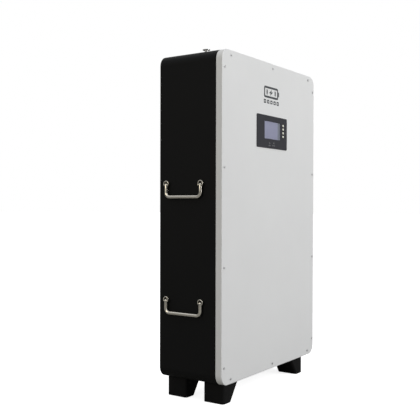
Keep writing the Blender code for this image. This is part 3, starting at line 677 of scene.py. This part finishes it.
# %% One screw
def screw_template():
    """A pan head in front of y = 0, with its socket and the start of its shank."""
    drive = hexagon(0.0022)
    return stack([
        (drive, -0.0010), (drive, -0.0021), (0.0016, -0.0023), (0.0025, -0.00222),
        (0.0031, -0.0019), (0.0034, -0.0013), (0.0035, -0.0007), (0.0035, -GAP),
        (0.0020, -GAP), (0.0020, 0.0030),
    ], "Y", (0, 0))


# %% Helpers for Geometry Nodes
def geometry_tree(name, inputs):
    """A tree with named inputs, and the sockets that they can be read from."""
    tree = bpy.data.node_groups.new(name, "GeometryNodeTree")
    inputs = (("Geometry", "Geometry", None), *inputs, ("Finish", "Material", None))
    for title, kind, value in inputs:
        socket = tree.interface.new_socket(title, in_out="INPUT", socket_type=f"NodeSocket{kind}")
        if value is not None:
            socket.default_value = value
    tree.interface.new_socket("Geometry", in_out="OUTPUT", socket_type="NodeSocketGeometry")
    return tree, tree.nodes.new("NodeGroupInput").outputs


def end_tree(tree, given, geometry):
    """Make instances real, set the material and hand the result out."""
    real = add_node(tree, "GeometryNodeRealizeInstances", (("Geometry", geometry),))
    painted = add_node(tree, "GeometryNodeSetMaterial", (
        ("Geometry", real.outputs[0]), ("Material", given["Finish"]),
    ))
    add_node(tree, "NodeGroupOutput", ((0, painted.outputs[0]),))
    print(f"Tree {tree.name}: {len(tree.nodes)} nodes")


def run_tree(piece, tree, values):
    """Put a tree on a piece, set its inputs by identifier, and keep the mesh that it makes."""
    modifier = piece.modifiers.new(tree.name, "NODES")
    modifier.node_group = tree
    for item in tree.interface.items_tree:
        if item.in_out == "INPUT" and item.name in values:
            modifier[item.identifier] = values[item.name]
    settle(piece)


# %% Geometry Nodes: a screw on every point
screw_tree, given = geometry_tree("Screws on points", (
    ("Screw", "Object", None), ("Most turn", "Float", math.tau), ("Seed", "Int", 7),
))
template = add_node(screw_tree, "GeometryNodeObjectInfo", (("Object", given["Screw"]),))
turn = add_node(
    screw_tree, "FunctionNodeRandomValue", (("Seed", given["Seed"]),), data_type="FLOAT"
)
most = next(socket for socket in turn.inputs if socket.identifier == "Max_001")
screw_tree.links.new(given["Most turn"], most)
turn_value = next(socket for socket in turn.outputs if socket.enabled)
axis_turn = add_node(screw_tree, "ShaderNodeCombineXYZ", (("Y", turn_value),))
spread_out = add_node(screw_tree, "GeometryNodeInstanceOnPoints", (
    ("Points", given["Geometry"]), ("Instance", template.outputs["Geometry"]),
    ("Rotation", axis_turn.outputs[0]),
))
end_tree(screw_tree, given, spread_out.outputs[0])

# %% Fourteen screws
template_screw = raw_object("screw_template", screw_template())
points = bmesh.new()
for spot in screw_places:
    points.verts.new((spot.x, FRONT_Y, spot.z))
screws = raw_object("cover_screws", points)
run_tree(screws, screw_tree, {
    "Screw": template_screw, "Seed": 7, "Finish": FINISHES["screw_steel"],
})
bpy.data.objects.remove(template_screw, do_unlink=True)
finish_piece(screws, "screw_steel", "enclosure", screw_nodes)

# %% [markdown]
# ## Feet
# Each foot is a wedge folded from sheet: upright on its outer side, leaning inward on
# the other, with round upright edges. A skin from a small round at the floor up to the
# case gives that lean, because the outline only grows on its inner side.

# %% Four feet
FOOT_BOTTOM_WIDTH = 0.042
FOOT_FRONT_CORNER, FOOT_REAR_CORNER = 0.009, 0.0035
FOOT_ROUND = 0.0012  # round of the edge on the floor
for row in ("front", "rear"):
    for side_name, side in (("left", -1), ("right", 1)):
        node = f"foot_{row}_{side_name}"
        low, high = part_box(node)
        outer = max(abs(low.x), abs(high.x))
        top_width = high.x - low.x
        length, centre_y = high.y - low.y, (low.y + high.y) / 2
        heights = [(inset, low.z + depth) for inset, depth in quarter(FOOT_ROUND, 4)]
        rings = []
        for inset, height in heights + [(0.0, low.z + 0.002), (0.0, high.z)]:
            share = (height - low.z) / (high.z - low.z)
            width = FOOT_BOTTOM_WIDTH + (top_width - FOOT_BOTTOM_WIDTH) * share
            outline = rounded_outline(
                width - 2 * inset, length - 2 * inset,
                FOOT_REAR_CORNER - inset, FOOT_FRONT_CORNER - inset,
            )
            rings.append(place(outline, "Z", (side * (outer - width / 2), centre_y), height))
        foot = raw_object(f"foot_shell_{row}_{side_name}", skin(rings))
        finish_piece(foot, "foot_black", "enclosure", [node])

# %% [markdown]
# ## Handle posts
# A folding handle turns in two short round posts. Each post is a cup: a rim round a
# hollow, open at the bottom and outward so that the bail can hang down or stand out. The
# cup is turned about the wall's normal and the opening is cut through its rim.

# %% Eight posts
POST_RADIUS, CUP_RADIUS = 0.009, 0.0062
LIP = (POST_RADIUS - CUP_RADIUS) / 2  # radius of the round rim
CUP_FLOOR = 0.0012  # height of the hollow's floor above the wall
SLOT_RADIUS, SLOT_DROP, SLOT_END = 0.0054, 0.0038, 0.012
mouth = []
for step in range(ROUND // 2):
    angle = math.pi * step / (ROUND // 2 - 1)
    mouth.append(Vector((SLOT_RADIUS * math.cos(angle), SLOT_RADIUS * math.sin(angle) - SLOT_DROP)))
mouth += [Vector((-SLOT_RADIUS, -SLOT_END)), Vector((SLOT_RADIUS, -SLOT_END))]

for side_name, side in (("left", -1), ("right", 1)):
    wall = side * SIDE_X
    for level in ("lower", "upper"):
        for end in ("front", "rear"):
            node = f"handle_post_{side_name}_{level}_{end}"
            low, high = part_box(node)
            reach = max(abs(low.x), abs(high.x)) - SIDE_X
            centre = ((low.y + high.y) / 2, (low.z + high.z) / 2)
            rim = reach - LIP
            profile = [
                (0.0030, -0.010), (0.0030, GAP), (POST_RADIUS - 0.0004, GAP), (POST_RADIUS, 0.0007),
                (POST_RADIUS, rim - 0.0004),
            ]
            for angle in (math.pi * step / 8 for step in range(9)):
                profile.append(
                    (CUP_RADIUS + LIP + LIP * math.cos(angle), rim + LIP * math.sin(angle))
                )
            profile += [(CUP_RADIUS, rim - 0.0004), (CUP_RADIUS, CUP_FLOOR + 0.0005),
                        (CUP_RADIUS - 0.0005, CUP_FLOOR)]
            post = raw_object(
                f"handle_cup_{side_name}_{level}_{end}",
                stack([(radius, side * out) for radius, out in profile], "X", centre, wall),
            )
            slot_ends = (wall + side * CUP_FLOOR, wall + side * (reach + 0.003))
            cut(post, punch(mouth, "X", centre, *slot_ends))
            finish_piece(post, "handle_steel", "enclosure", [node])

# %% Black discs in the cups: the case's black, and painted shade in each hollow
cup_dark_discs = []
for node in sorted(name for name in frame["nodes"] if name.startswith("handle_post_")):
    middle = node_centre(node)
    side = math.copysign(1, middle.x)
    cup_dark_discs.append(punch(circle(CUP_RADIUS - 0.0001), "X", (middle.y, middle.z),
                        side * (SIDE_X + CUP_FLOOR), side * (SIDE_X + CUP_FLOOR + 0.0002)))
# These discs darken each hollow: painted shade over the case's own black.
finish_piece(raw_object("cup_bushes", joined(cup_dark_discs)), "foot_black", "enclosure", [])

# %% [markdown]
# ## Handle bails
# A bail is one rod bent twice. Its shape follows a rule, a path with two bends of the
# same radius, so Geometry Nodes build it: points joined by a line, corners filleted, and
# a circle swept along. Near the ends the points carry a smaller thickness, which rounds
# the rod's ends. Two pins across the ends are what it turns on.

# %% Geometry Nodes: a rod along a path
ROD_RADIUS, BEND_RADIUS = 0.005, 0.013
rod_tree, given = geometry_tree("Rod along path", (
    ("Rod radius", "Float", ROD_RADIUS), ("Bend radius", "Float", BEND_RADIUS),
))
line = add_node(rod_tree, "GeometryNodeMeshToCurve", (("Mesh", given["Geometry"]),))
bent = add_node(rod_tree, "GeometryNodeFilletCurve", (
    ("Curve", line.outputs[0]), ("Count", 14), ("Radius", given["Bend radius"]),
), mode="POLY")
section = add_node(rod_tree, "GeometryNodeCurvePrimitiveCircle", (
    ("Resolution", 32), ("Radius", given["Rod radius"]),
))
thickness = add_node(
    rod_tree, "GeometryNodeInputNamedAttribute", (("Name", "thickness"),), data_type="FLOAT"
)
rod = add_node(rod_tree, "GeometryNodeCurveToMesh", (
    ("Curve", bent.outputs[0]), ("Profile Curve", section.outputs[0]),
    ("Scale", thickness.outputs["Attribute"]), ("Fill Caps", True),
))
merged = add_node(rod_tree, "GeometryNodeMergeByDistance", (
    ("Geometry", rod.outputs[0]), ("Distance", 0.00002),
))
end_tree(rod_tree, given, merged.outputs[0])

# %% Four bails
PIN_RADIUS = 0.0015
PIN_REACH = POST_RADIUS - 0.0012  # half the length of a pin
tip = [(ROD_RADIUS * math.sin(a), max(math.cos(a), 0.05))
       for a in (math.pi / 2 * step / 7 for step in range(1, 8))]
for side_name in ("left", "right"):
    for level in ("lower", "upper"):
        node = f"handle_bail_{side_name}_{level}"
        low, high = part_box(node)
        axis_x = (low.x + high.x) / 2
        bar_z, pin_z = low.z + ROD_RADIUS, high.z - ROD_RADIUS
        legs = (node_centre(f"handle_post_{side_name}_{level}_front").y,
                node_centre(f"handle_post_{side_name}_{level}_rear").y)
        path = [(legs[0], pin_z + above, scale) for above, scale in reversed(tip)]
        path += [(legs[0], pin_z, 1.0), (legs[0], bar_z, 1.0)]
        path += [(legs[1], bar_z, 1.0), (legs[1], pin_z, 1.0)]
        path += [(legs[1], pin_z + above, scale) for above, scale in tip]
        wire = bmesh.new()
        layer = wire.verts.layers.float.new("thickness")
        chain = []
        for y, z, scale in path:
            vertex = wire.verts.new((axis_x, y, z))
            vertex[layer] = scale
            chain.append(vertex)
        for first, second in zip(chain, chain[1:]):
            wire.edges.new((first, second))
        bail = raw_object(f"bail_{side_name}_{level}", wire)
        run_tree(bail, rod_tree, {
            "Rod radius": ROD_RADIUS, "Bend radius": BEND_RADIUS,
            "Finish": FINISHES["handle_steel"],
        })
        whole = bmesh.new()
        whole.from_mesh(bail.data)
        joined([stack([
            (PIN_RADIUS * 0.8, y - PIN_REACH), (PIN_RADIUS, y - PIN_REACH + 0.0003),
            (PIN_RADIUS, y + PIN_REACH - 0.0003), (PIN_RADIUS * 0.8, y + PIN_REACH),
        ], "Y", (axis_x, pin_z)) for y in legs], whole)
        bmesh.ops.recalc_face_normals(whole, faces=whole.faces)
        whole.to_mesh(bail.data)
        whole.free()
        finish_piece(bail, "handle_steel", f"handle_{side_name}_{level}", [node])

# %% [markdown]
# ## Display panel
# The panel is a moulded frame 2 mm proud of the cover, with an opening for the screen, a
# glossy strip for four keys and two small lights. The frame is a slab with a rounded
# edge whose openings are cut through. The keys are turned, with a shallow crown.

# %% Frame of the panel
panel_face = bezel_low.y
window_low, window_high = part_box("display_window")
window_middle = ((window_low.x + window_high.x) / 2, (window_low.z + window_high.z) / 2)
KEYS = ("escape", "up", "down", "enter")
LIGHTS = ("run", "alarm")
key_spots = [node_centre(f"key_{name}") for name in KEYS]
light_spots = [node_centre(f"status_light_{name}") for name in LIGHTS]

edge = [(inset, panel_face + depth) for inset, depth in quarter(0.0008, 4)]
slab = [(0.0014, panel_face), *edge, (0.0, FRONT_Y - GAP), (0.010, FRONT_Y - GAP),
        (0.010, FRONT_Y - 0.0006)]
PANEL_CORNER = 0.0044
panel = raw_object("panel_frame", stack([
    (rounded_outline(
        BEZEL_WIDTH - 2 * inset, BEZEL_HEIGHT - 2 * inset, max(PANEL_CORNER - inset, 0.0008)
    ), along) for inset, along in slab
], "Y", bezel_middle))
SIGHT_WIDTH = window_high.x - window_low.x + 2 * GAP
SIGHT_HEIGHT = window_high.z - window_low.z + 2 * GAP
KEY_HOLE, LIGHT_HOLE = circle(0.0043), circle(0.0014)
cuts = [stack([
    (rounded_outline(SIGHT_WIDTH + 2 * grow, SIGHT_HEIGHT + 2 * grow, 0.001 + grow), along)
    for grow, along in ((0.0006, -0.001), (0.0006, 0.0), (0.0, 0.0006), (0.0, 0.004))
], "Y", window_middle, panel_face)]
for hole, spots in ((KEY_HOLE, key_spots), (LIGHT_HOLE, light_spots)):
    cuts += [punch(hole, "Y", face_spot(spot), panel_face - 0.001, FRONT_Y) for spot in spots]
cut(panel, joined(cuts))
finish_piece(panel, "bezel_black", "enclosure", ["display_bezel"])

# %% Key strip
strip_middle = (key_spots[0].x, (key_spots[0].z + key_spots[-1].z) / 2)
strip_height = key_spots[0].z - key_spots[-1].z + 0.0125
strip = raw_object("key_strip", stack([
    (rounded_outline(0.0122 - 2 * inset, strip_height - 2 * inset, 0.0030 - inset), -out)
    for inset, out in ((0.0, -0.0004), (0.0, 0.00005), (0.0001, 0.00012))
], "Y", strip_middle, panel_face))
cut(strip, joined([
    punch(KEY_HOLE, "Y", face_spot(spot), panel_face - 0.002, FRONT_Y) for spot in key_spots
]))
finish_piece(strip, "strip_gloss", "enclosure", [])

# %% Four keys
KEY_RADIUS = 0.0040
for name, spot in zip(KEYS, key_spots):
    low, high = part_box(f"key_{name}")
    crown = [(KEY_RADIUS * share, depth) for share, depth in (
        (0.12, 0.0), (0.45, 0.00006), (0.68, 0.00018), (0.84, 0.00042), (0.94, 0.00080),
        (0.99, 0.00130), (1.0, 0.0018), (1.0, 0.0030),
    )]
    stem = [(KEY_RADIUS + 0.0010, 0.0032), (KEY_RADIUS + 0.0010, 0.0042), (0.0015, 0.0042),
            (0.0015, high.y - low.y)]
    key = raw_object(f"key_cap_{name}", stack(crown + stem, "Y", face_spot(spot), low.y))
    finish_piece(key, "key_cream", f"key_{name}", [f"key_{name}"])

# %% Two lights
for name, spot in zip(LIGHTS, light_spots):
    low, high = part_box(f"status_light_{name}")
    dome = [(0.00020, 0.0), (0.00060, 0.00006), (0.00090, 0.00018), (0.00105, 0.00034),
            (0.0011, 0.0006), (0.0011, high.y - low.y)]
    light = raw_object(f"light_lens_{name}", stack(dome, "Y", face_spot(spot), low.y))
    finish_piece(light, "light_clear", "enclosure", [f"status_light_{name}"])

# %% [markdown]
# ## Printed marks
# Print is a film of ink about a tenth of a millimetre thick. The cover carries a plain
# battery sign with charge bars under it, and the panel a dot, a triangle and short bars
# beside its lights. They are flat solids, because a shape made of mesh stays sharp.

# %% Flat solids from outlines
ROOT = 0.00005  # how deep a film of ink reaches into the face that it is on


def flat_solid(outline, centre, front, thick):
    """A thin plate with any outline that doesn't cross itself."""
    return punch(outline, "Y", centre, front - thick, front + ROOT)


def flat_frame(outer, inner, centre, front, thick):
    """A thin plate with a hole: two outlines with the same number of points."""
    return skin([
        place(outline, "Y", centre, along) for outline, along in (
            (outer, front - thick), (inner, front - thick),
            (inner, front + ROOT), (outer, front + ROOT))
    ], hollow=True)


# %% Battery sign on the cover
INK = 0.00010
SIGN_X, SIGN_Z = -0.0110, UNDERSIDE_Z + 0.8405
BAR = rounded_outline(0.0065, 0.0150, 0.001)
BOLT = [Vector(p) for p in ((0.0055, 0.0100), (-0.0120, -0.0022), (-0.0020, -0.0022),
                            (-0.0055, -0.0100), (0.0120, 0.0022), (0.0020, 0.0022))]
sign = [flat_frame(rounded_outline(0.086, 0.035, 0.006), rounded_outline(0.0735, 0.0225, 0.0015),
                   (SIGN_X, SIGN_Z), FRONT_Y, INK)]
for outline, across in ((rounded_outline(0.0060, 0.0150, 0.0014), 0.0468), (BOLT, -0.001),
                        (BAR, -0.0250), (BAR, 0.0250)):
    sign.append(flat_solid(outline, (SIGN_X + across, SIGN_Z), FRONT_Y, INK))
for step in range(5):
    middle = (SIGN_X + 0.0017 + (step - 2) * 0.0196, UNDERSIDE_Z + 0.8118)
    sign.append(flat_frame(rounded_outline(0.0135, 0.0115, 0.0015),
                           rounded_outline(0.0055, 0.0040, 0.0008), middle, FRONT_Y, INK))
finish_piece(raw_object("cover_sign", joined(sign)), "print_grey", "enclosure", [])

# %% Small marks on the panel
FINE_INK = 0.00006
run, alarm = light_spots
triangle = [spoke(math.pi / 2 + math.tau * i / 3) for i in range(3)]
marks = [
    flat_frame(circle(0.0030), circle(0.0023), face_spot(run), panel_face, FINE_INK),
    flat_frame([0.0042 * p for p in triangle], [0.0029 * p for p in triangle],
               face_spot(alarm), panel_face, FINE_INK),
]
for spot, count, width in ((run, 4, 0.0022), (alarm, 5, 0.0026)):
    dash = rounded_outline(width, 0.0016, 0.0003)
    for step in range(count):
        across = spot.x + (step - (count - 1) / 2) * (width + 0.0009)
        marks.append(flat_solid(dash, (across, spot.z - 0.0078), panel_face, FINE_INK))
marks.append(flat_solid(rounded_outline(0.0045, 0.0007, 0.0002),
                        (bezel_high.x - 0.0062, key_spots[1].z), panel_face, FINE_INK))
finish_piece(raw_object("panel_marks", joined(marks)), "print_pale", "enclosure", [])

# %% [markdown]
# ## Fittings on the top panel
# A pressure valve stands at the left end of the top panel. The power sockets, the breaker,
# the signal ports, the power button and the earth stud stand behind it, toward the right.
# All but the ports and the breaker are turned parts, so a profile of (radius, height)
# pairs describes each one, with an outline in place of the radius where it isn't round.

# %% Vent valve
def top_piece(name, steps, centre):
    """A stack of (outline, height above the top panel) about an upright axis."""
    return raw_object(name, stack(steps, "Z", centre, TOP_Z))


valve = [
    (0.0080, -0.0120), (0.0080, GAP), (0.0096, GAP), (0.0100, 0.0006),
    (hexagon(0.0172), 0.0006), (hexagon(0.0172), 0.0022), (0.0078, 0.0024), (0.0055, 0.0027),
    (0.0050, 0.0080), (0.0055, 0.0084), (0.0100, 0.0086), (0.0106, 0.0088),
    (0.0108, 0.0091), (0.0108, 0.0100), (0.0106, 0.0104), (0.0100, 0.0108),
    (0.0090, 0.0110), (0.0070, 0.0110), (0.0066, 0.0107), (0.0050, 0.0107),
    (0.0046, 0.0112), (0.0020, 0.0112),
]
finish_piece(top_piece("valve_body", valve, top_spot("vent_valve")),
             "plated_steel", "enclosure", ["vent_valve"])

# %% Power sockets and their contacts
def square(width):
    return rounded_outline(width, width, 0.003)


for polarity, finish in (("positive", "socket_orange"), ("negative", "socket_black")):
    node = f"{polarity}_socket"
    spot = top_spot(node)
    steps = [(0.0130, -0.0160), (0.0130, GAP), (square(0.0334), GAP), (square(0.0340), 0.0006),
             (square(0.0340), 0.0027), (square(0.0332), GAP + 0.0030), (0.0140, GAP + 0.0030),
             (0.0131, 0.0042), (0.0128, 0.0046)]
    for rib in range(5):
        height = 0.0066 + rib * 0.0024
        steps += [(0.0128, height), (0.0130, height + 0.0003),
                  (0.0130, height + 0.0011), (0.0128, height + 0.0014)]
    steps += [(0.0130, 0.0196), (0.0130, 0.0203), (0.0126, 0.0207), (0.0122, 0.0208),
              (0.0106, 0.0208), (0.0101, 0.0205), (0.0100, 0.0200), (0.0100, -0.0120)]
    finish_piece(top_piece(f"{polarity}_housing", steps, spot), finish, "enclosure", [node])
    pin = [(0.0040, -0.0117), (0.0040, 0.0136), (0.0038, 0.0146), (0.0033, 0.0152),
           (0.0026, 0.0155), (0.0010, 0.0155)]
    finish_piece(top_piece(f"{polarity}_pin", pin, spot),
                 "contact_brass", "enclosure", [f"{polarity}_contact"])

# %% Breaker and its toggle
breaker = top_spot("breaker_body")
low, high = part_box("breaker_body")
steps = [(rounded_outline(width, depth, corner), height) for width, depth, corner, height in (
    (0.0380, 0.0700, 0.0020, low.z - TOP_Z), (0.0380, 0.0700, 0.0020, -SHEET - GAP),
    (0.0350, 0.0470, 0.0025, -SHEET - GAP), (0.0350, 0.0470, 0.0025, 0.0066),
    (0.0346, 0.0466, 0.0023, 0.0073), (0.0336, 0.0456, 0.0020, 0.0078),
    (0.0200, 0.0330, 0.0020, 0.0078), (0.0192, 0.0322, 0.0018, 0.0070),
    (0.0128, 0.0268, 0.0017, 0.0070), (0.0120, 0.0260, 0.0015, 0.0066),
    (0.0120, 0.0260, 0.0015, -0.0080),
)]
finish_piece(top_piece("breaker_housing", steps, breaker),
             "breaker_black", "enclosure", ["breaker_body"])

# %% The toggle, standing at its pivot
hinge = next(joint for joint in frame["joints"] if joint["name"] == "breaker_toggle_throw")
pivot = Vector(hinge["pos_m"])
HUB, TIP, HALF = 0.0050, 0.0200, 0.0028  # hub radius, lever's length and half its thickness
start = math.asin(HALF / HUB)
lever = []
for step in range(25):
    angle = start + (math.tau - 2 * start) * step / 24
    lever.append(Vector((HUB * math.sin(angle), HUB * math.cos(angle))))
lever += [Vector((HALF * share, TIP - drop)) for share, drop in (
    (-0.85, 0.0012), (-0.6, 0.0003), (-0.3, 0.0), (0.3, 0.0), (0.6, 0.0003), (0.85, 0.0012))]
lean = Matrix.Rotation(math.radians(20), 2)
toggle = raw_object("toggle_lever", stack([
    ([lean @ (point * shrink) for point in lever], along)
    for shrink, along in ((0.94, -0.0050), (1.0, -0.0046), (1.0, 0.0046), (0.94, 0.0050))
], "X", (pivot.y, pivot.z), breaker[0]))
finish_piece(toggle, "toggle_green", "breaker_toggle", ["breaker_toggle"])

# %% Power button
button = top_spot("power_button")
ring = [(0.0095, -0.0220), (0.0095, GAP), (0.0113, GAP), (0.0115, 0.0006), (0.0115, 0.0013),
        (0.0113, 0.0018), (0.0108, 0.0022), (0.0103, 0.0023), (0.0084, 0.0023), (0.0080, 0.0019),
        (0.0080, -0.0180)]
finish_piece(top_piece("button_ring", ring, button),
             "plated_steel", "enclosure", ["power_button_ring"])
cap = [(0.0030, -0.0150), (0.0030, -0.0080), (0.0076, -0.0080), (0.0076, 0.0025), (0.0075, 0.0029),
       (0.0072, 0.0032), (0.0060, 0.0032), (0.0040, 0.0029), (0.0015, 0.0028)]
finish_piece(top_piece("button_cap", cap, button), "plated_steel", "power_button", ["power_button"])

# %% Signal ports
ports = top_spot("communication_ports")
block = top_piece("port_block", [
    (rounded_outline(width, depth, corner), height) for width, depth, corner, height in (
        (0.0620, 0.0180, 0.0015, -0.0180), (0.0620, 0.0180, 0.0015, GAP),
        (0.0676, 0.0236, 0.0020, GAP), (0.0680, 0.0240, 0.0022, 0.0006),
        (0.0680, 0.0240, 0.0022, 0.0020), (0.0676, 0.0236, 0.0020, 0.0024),
        (0.0668, 0.0228, 0.0018, 0.0026),
    )
], ports)
MOUTH, LATCH_WAY = rounded_outline(0.0118, 0.0080, 0.0004), rounded_outline(0.0056, 0.0030, 0.0003)
port_places = [ports[0] + 0.0150 * (step - 1.5) for step in range(4)]
cut(block, joined([
    punch(MOUTH, "Z", (across, ports[1]), TOP_Z - 0.0130, TOP_Z + 0.0060) for across in port_places
]))
for across in port_places:
    cut(block, punch(LATCH_WAY, "Z", (across, ports[1] - 0.0045), TOP_Z - 0.0100, TOP_Z + 0.0060))
finish_piece(block, "port_black", "enclosure", ["communication_ports"])

# %% Earth stud
stud = [(0.0030, -0.0100), (0.0030, GAP), (0.0078, GAP), (0.0080, 0.0006),
        (0.0080, GAP + 0.0010), (0.0078, GAP + 0.0012), (hexagon(0.0098), GAP + 0.0012),
        (hexagon(0.0100), GAP + 0.0016), (hexagon(0.0100), GAP + 0.0056),
        (hexagon(0.0096), GAP + 0.0060), (0.0030, GAP + 0.0060)]
for turn_number in range(8):  # the thread
    height = 0.0068 + turn_number * 0.0009
    stud += [(0.0030, height), (0.0026, height + 0.00045)]
stud += [(0.0030, 0.0140), (0.0024, 0.0146)]
finish_piece(top_piece("earth_bolt", stud, top_spot("earth_stud")),
             "contact_brass", "enclosure", ["earth_stud"])

# %% [markdown]
# ## Stage, light and camera
# A pale floor and an even, bright surround stand in for a studio. A large soft light in
# front and above makes the cover the brightest face, and the left side stays in shade.
# Through the lens the surround is white; as a light it is grey, which keeps black black.

# %% Floor and surround
floor_mesh = bmesh.new()
bmesh.ops.create_grid(floor_mesh, x_segments=1, y_segments=1, size=40)
floor = raw_object("studio_floor", floor_mesh)
floor_material = bpy.data.materials.new("floor_pale")
floor_material.use_nodes = True
paper = floor_material.node_tree
paper.nodes.clear()
bright = add_node(paper, "ShaderNodeEmission", (("Color", (1, 1, 1, 1)), ("Strength", 0.82)))
pale = add_node(paper, "ShaderNodeBsdfDiffuse", (("Color", (0.85, 0.85, 0.85, 1)),))
lit_paper = add_node(paper, "ShaderNodeAddShader", ((0, bright.outputs[0]), (1, pale.outputs[0])))
dim = add_node(paper, "ShaderNodeBsdfDiffuse", (("Color", (0.30, 0.295, 0.28, 1)),))
paper_ray = add_node(paper, "ShaderNodeLightPath")
paper_mix = add_node(paper, "ShaderNodeMixShader", (
    (0, paper_ray.outputs["Is Camera Ray"]), (1, dim.outputs[0]), (2, lit_paper.outputs[0]),
))
add_node(paper, "ShaderNodeOutputMaterial", (("Surface", paper_mix.outputs[0]),))
floor.data.materials.append(floor_material)

world = bpy.data.worlds.new("surround")
bpy.context.scene.world = world
world.use_nodes = True
sky = world.node_tree
sky.nodes.clear()
seen = add_node(sky, "ShaderNodeBackground", (("Color", (1, 1, 1, 1)), ("Strength", 1.0)))
direction = add_node(sky, "ShaderNodeTexCoord").outputs["Generated"]
height = add_node(sky, "ShaderNodeSeparateXYZ", ((0, direction),)).outputs["Z"]
overhead = ramp_between(sky, height, 0.0, 0.9)
glow = mix_colour(sky, overhead, (0.14, 0.137, 0.130, 1), (0.95, 0.97, 1.0, 1))
lit = add_node(sky, "ShaderNodeBackground", (("Color", glow), ("Strength", 1.0)))
ray = add_node(sky, "ShaderNodeLightPath")
either = add_node(sky, "ShaderNodeMixShader", (
    (0, ray.outputs["Is Camera Ray"]), (1, lit.outputs[0]), (2, seen.outputs[0]),
))
add_node(sky, "ShaderNodeOutputWorld", (("Surface", either.outputs[0]),))

# %% Lights
def soft_light(name, spot, target, size, power, colour=(1, 1, 1)):
    data = bpy.data.lights.new(name, "AREA")
    data.shape, data.size, data.energy, data.color = "SQUARE", size, power, colour
    lamp = bpy.data.objects.new(name, data)
    bpy.context.scene.collection.objects.link(lamp)
    lamp.location = spot
    lamp.rotation_euler = (Vector(target) - Vector(spot)).to_track_quat("-Z", "Y").to_euler()
    return lamp


soft_light("key_light", (0.6, -3.5, 1.45), (0, 0, 0.55), 2.0, 68)
soft_light("side_light", (-3.0, 0.6, 1.2), (-0.28, 0, 0.5), 0.8, 11, (1, 0.92, 0.74))

# %% Camera
YAW, PITCH, ROLL = (math.radians(angle) for angle in (55.73, -0.37, 0.14))
EYE = Vector((-1.8893, FRONT_Y - 1.0557, UNDERSIDE_Z + 0.4978))
level = math.cos(PITCH)
forward = Vector((math.sin(YAW) * level, math.cos(YAW) * level, math.sin(PITCH)))
right = forward.cross(Vector((0, 0, 1))).normalized()
up = right.cross(forward)
tilted = right * math.cos(ROLL) + up * math.sin(ROLL)
camera_data = bpy.data.cameras.new("camera")
camera_data.lens, camera_data.sensor_width = 60.41, 36.0
camera_data.dof.use_dof = False
camera = bpy.data.objects.new("camera", camera_data)
bpy.context.scene.collection.objects.link(camera)
pose = Matrix((tilted, tilted.cross(forward), -forward)).transposed().to_4x4()
pose.translation = EYE
camera.matrix_world = pose
bpy.context.scene.camera = camera
bpy.context.scene.view_settings.view_transform = "Standard"
print("Camera at", [round(v, 4) for v in EYE])
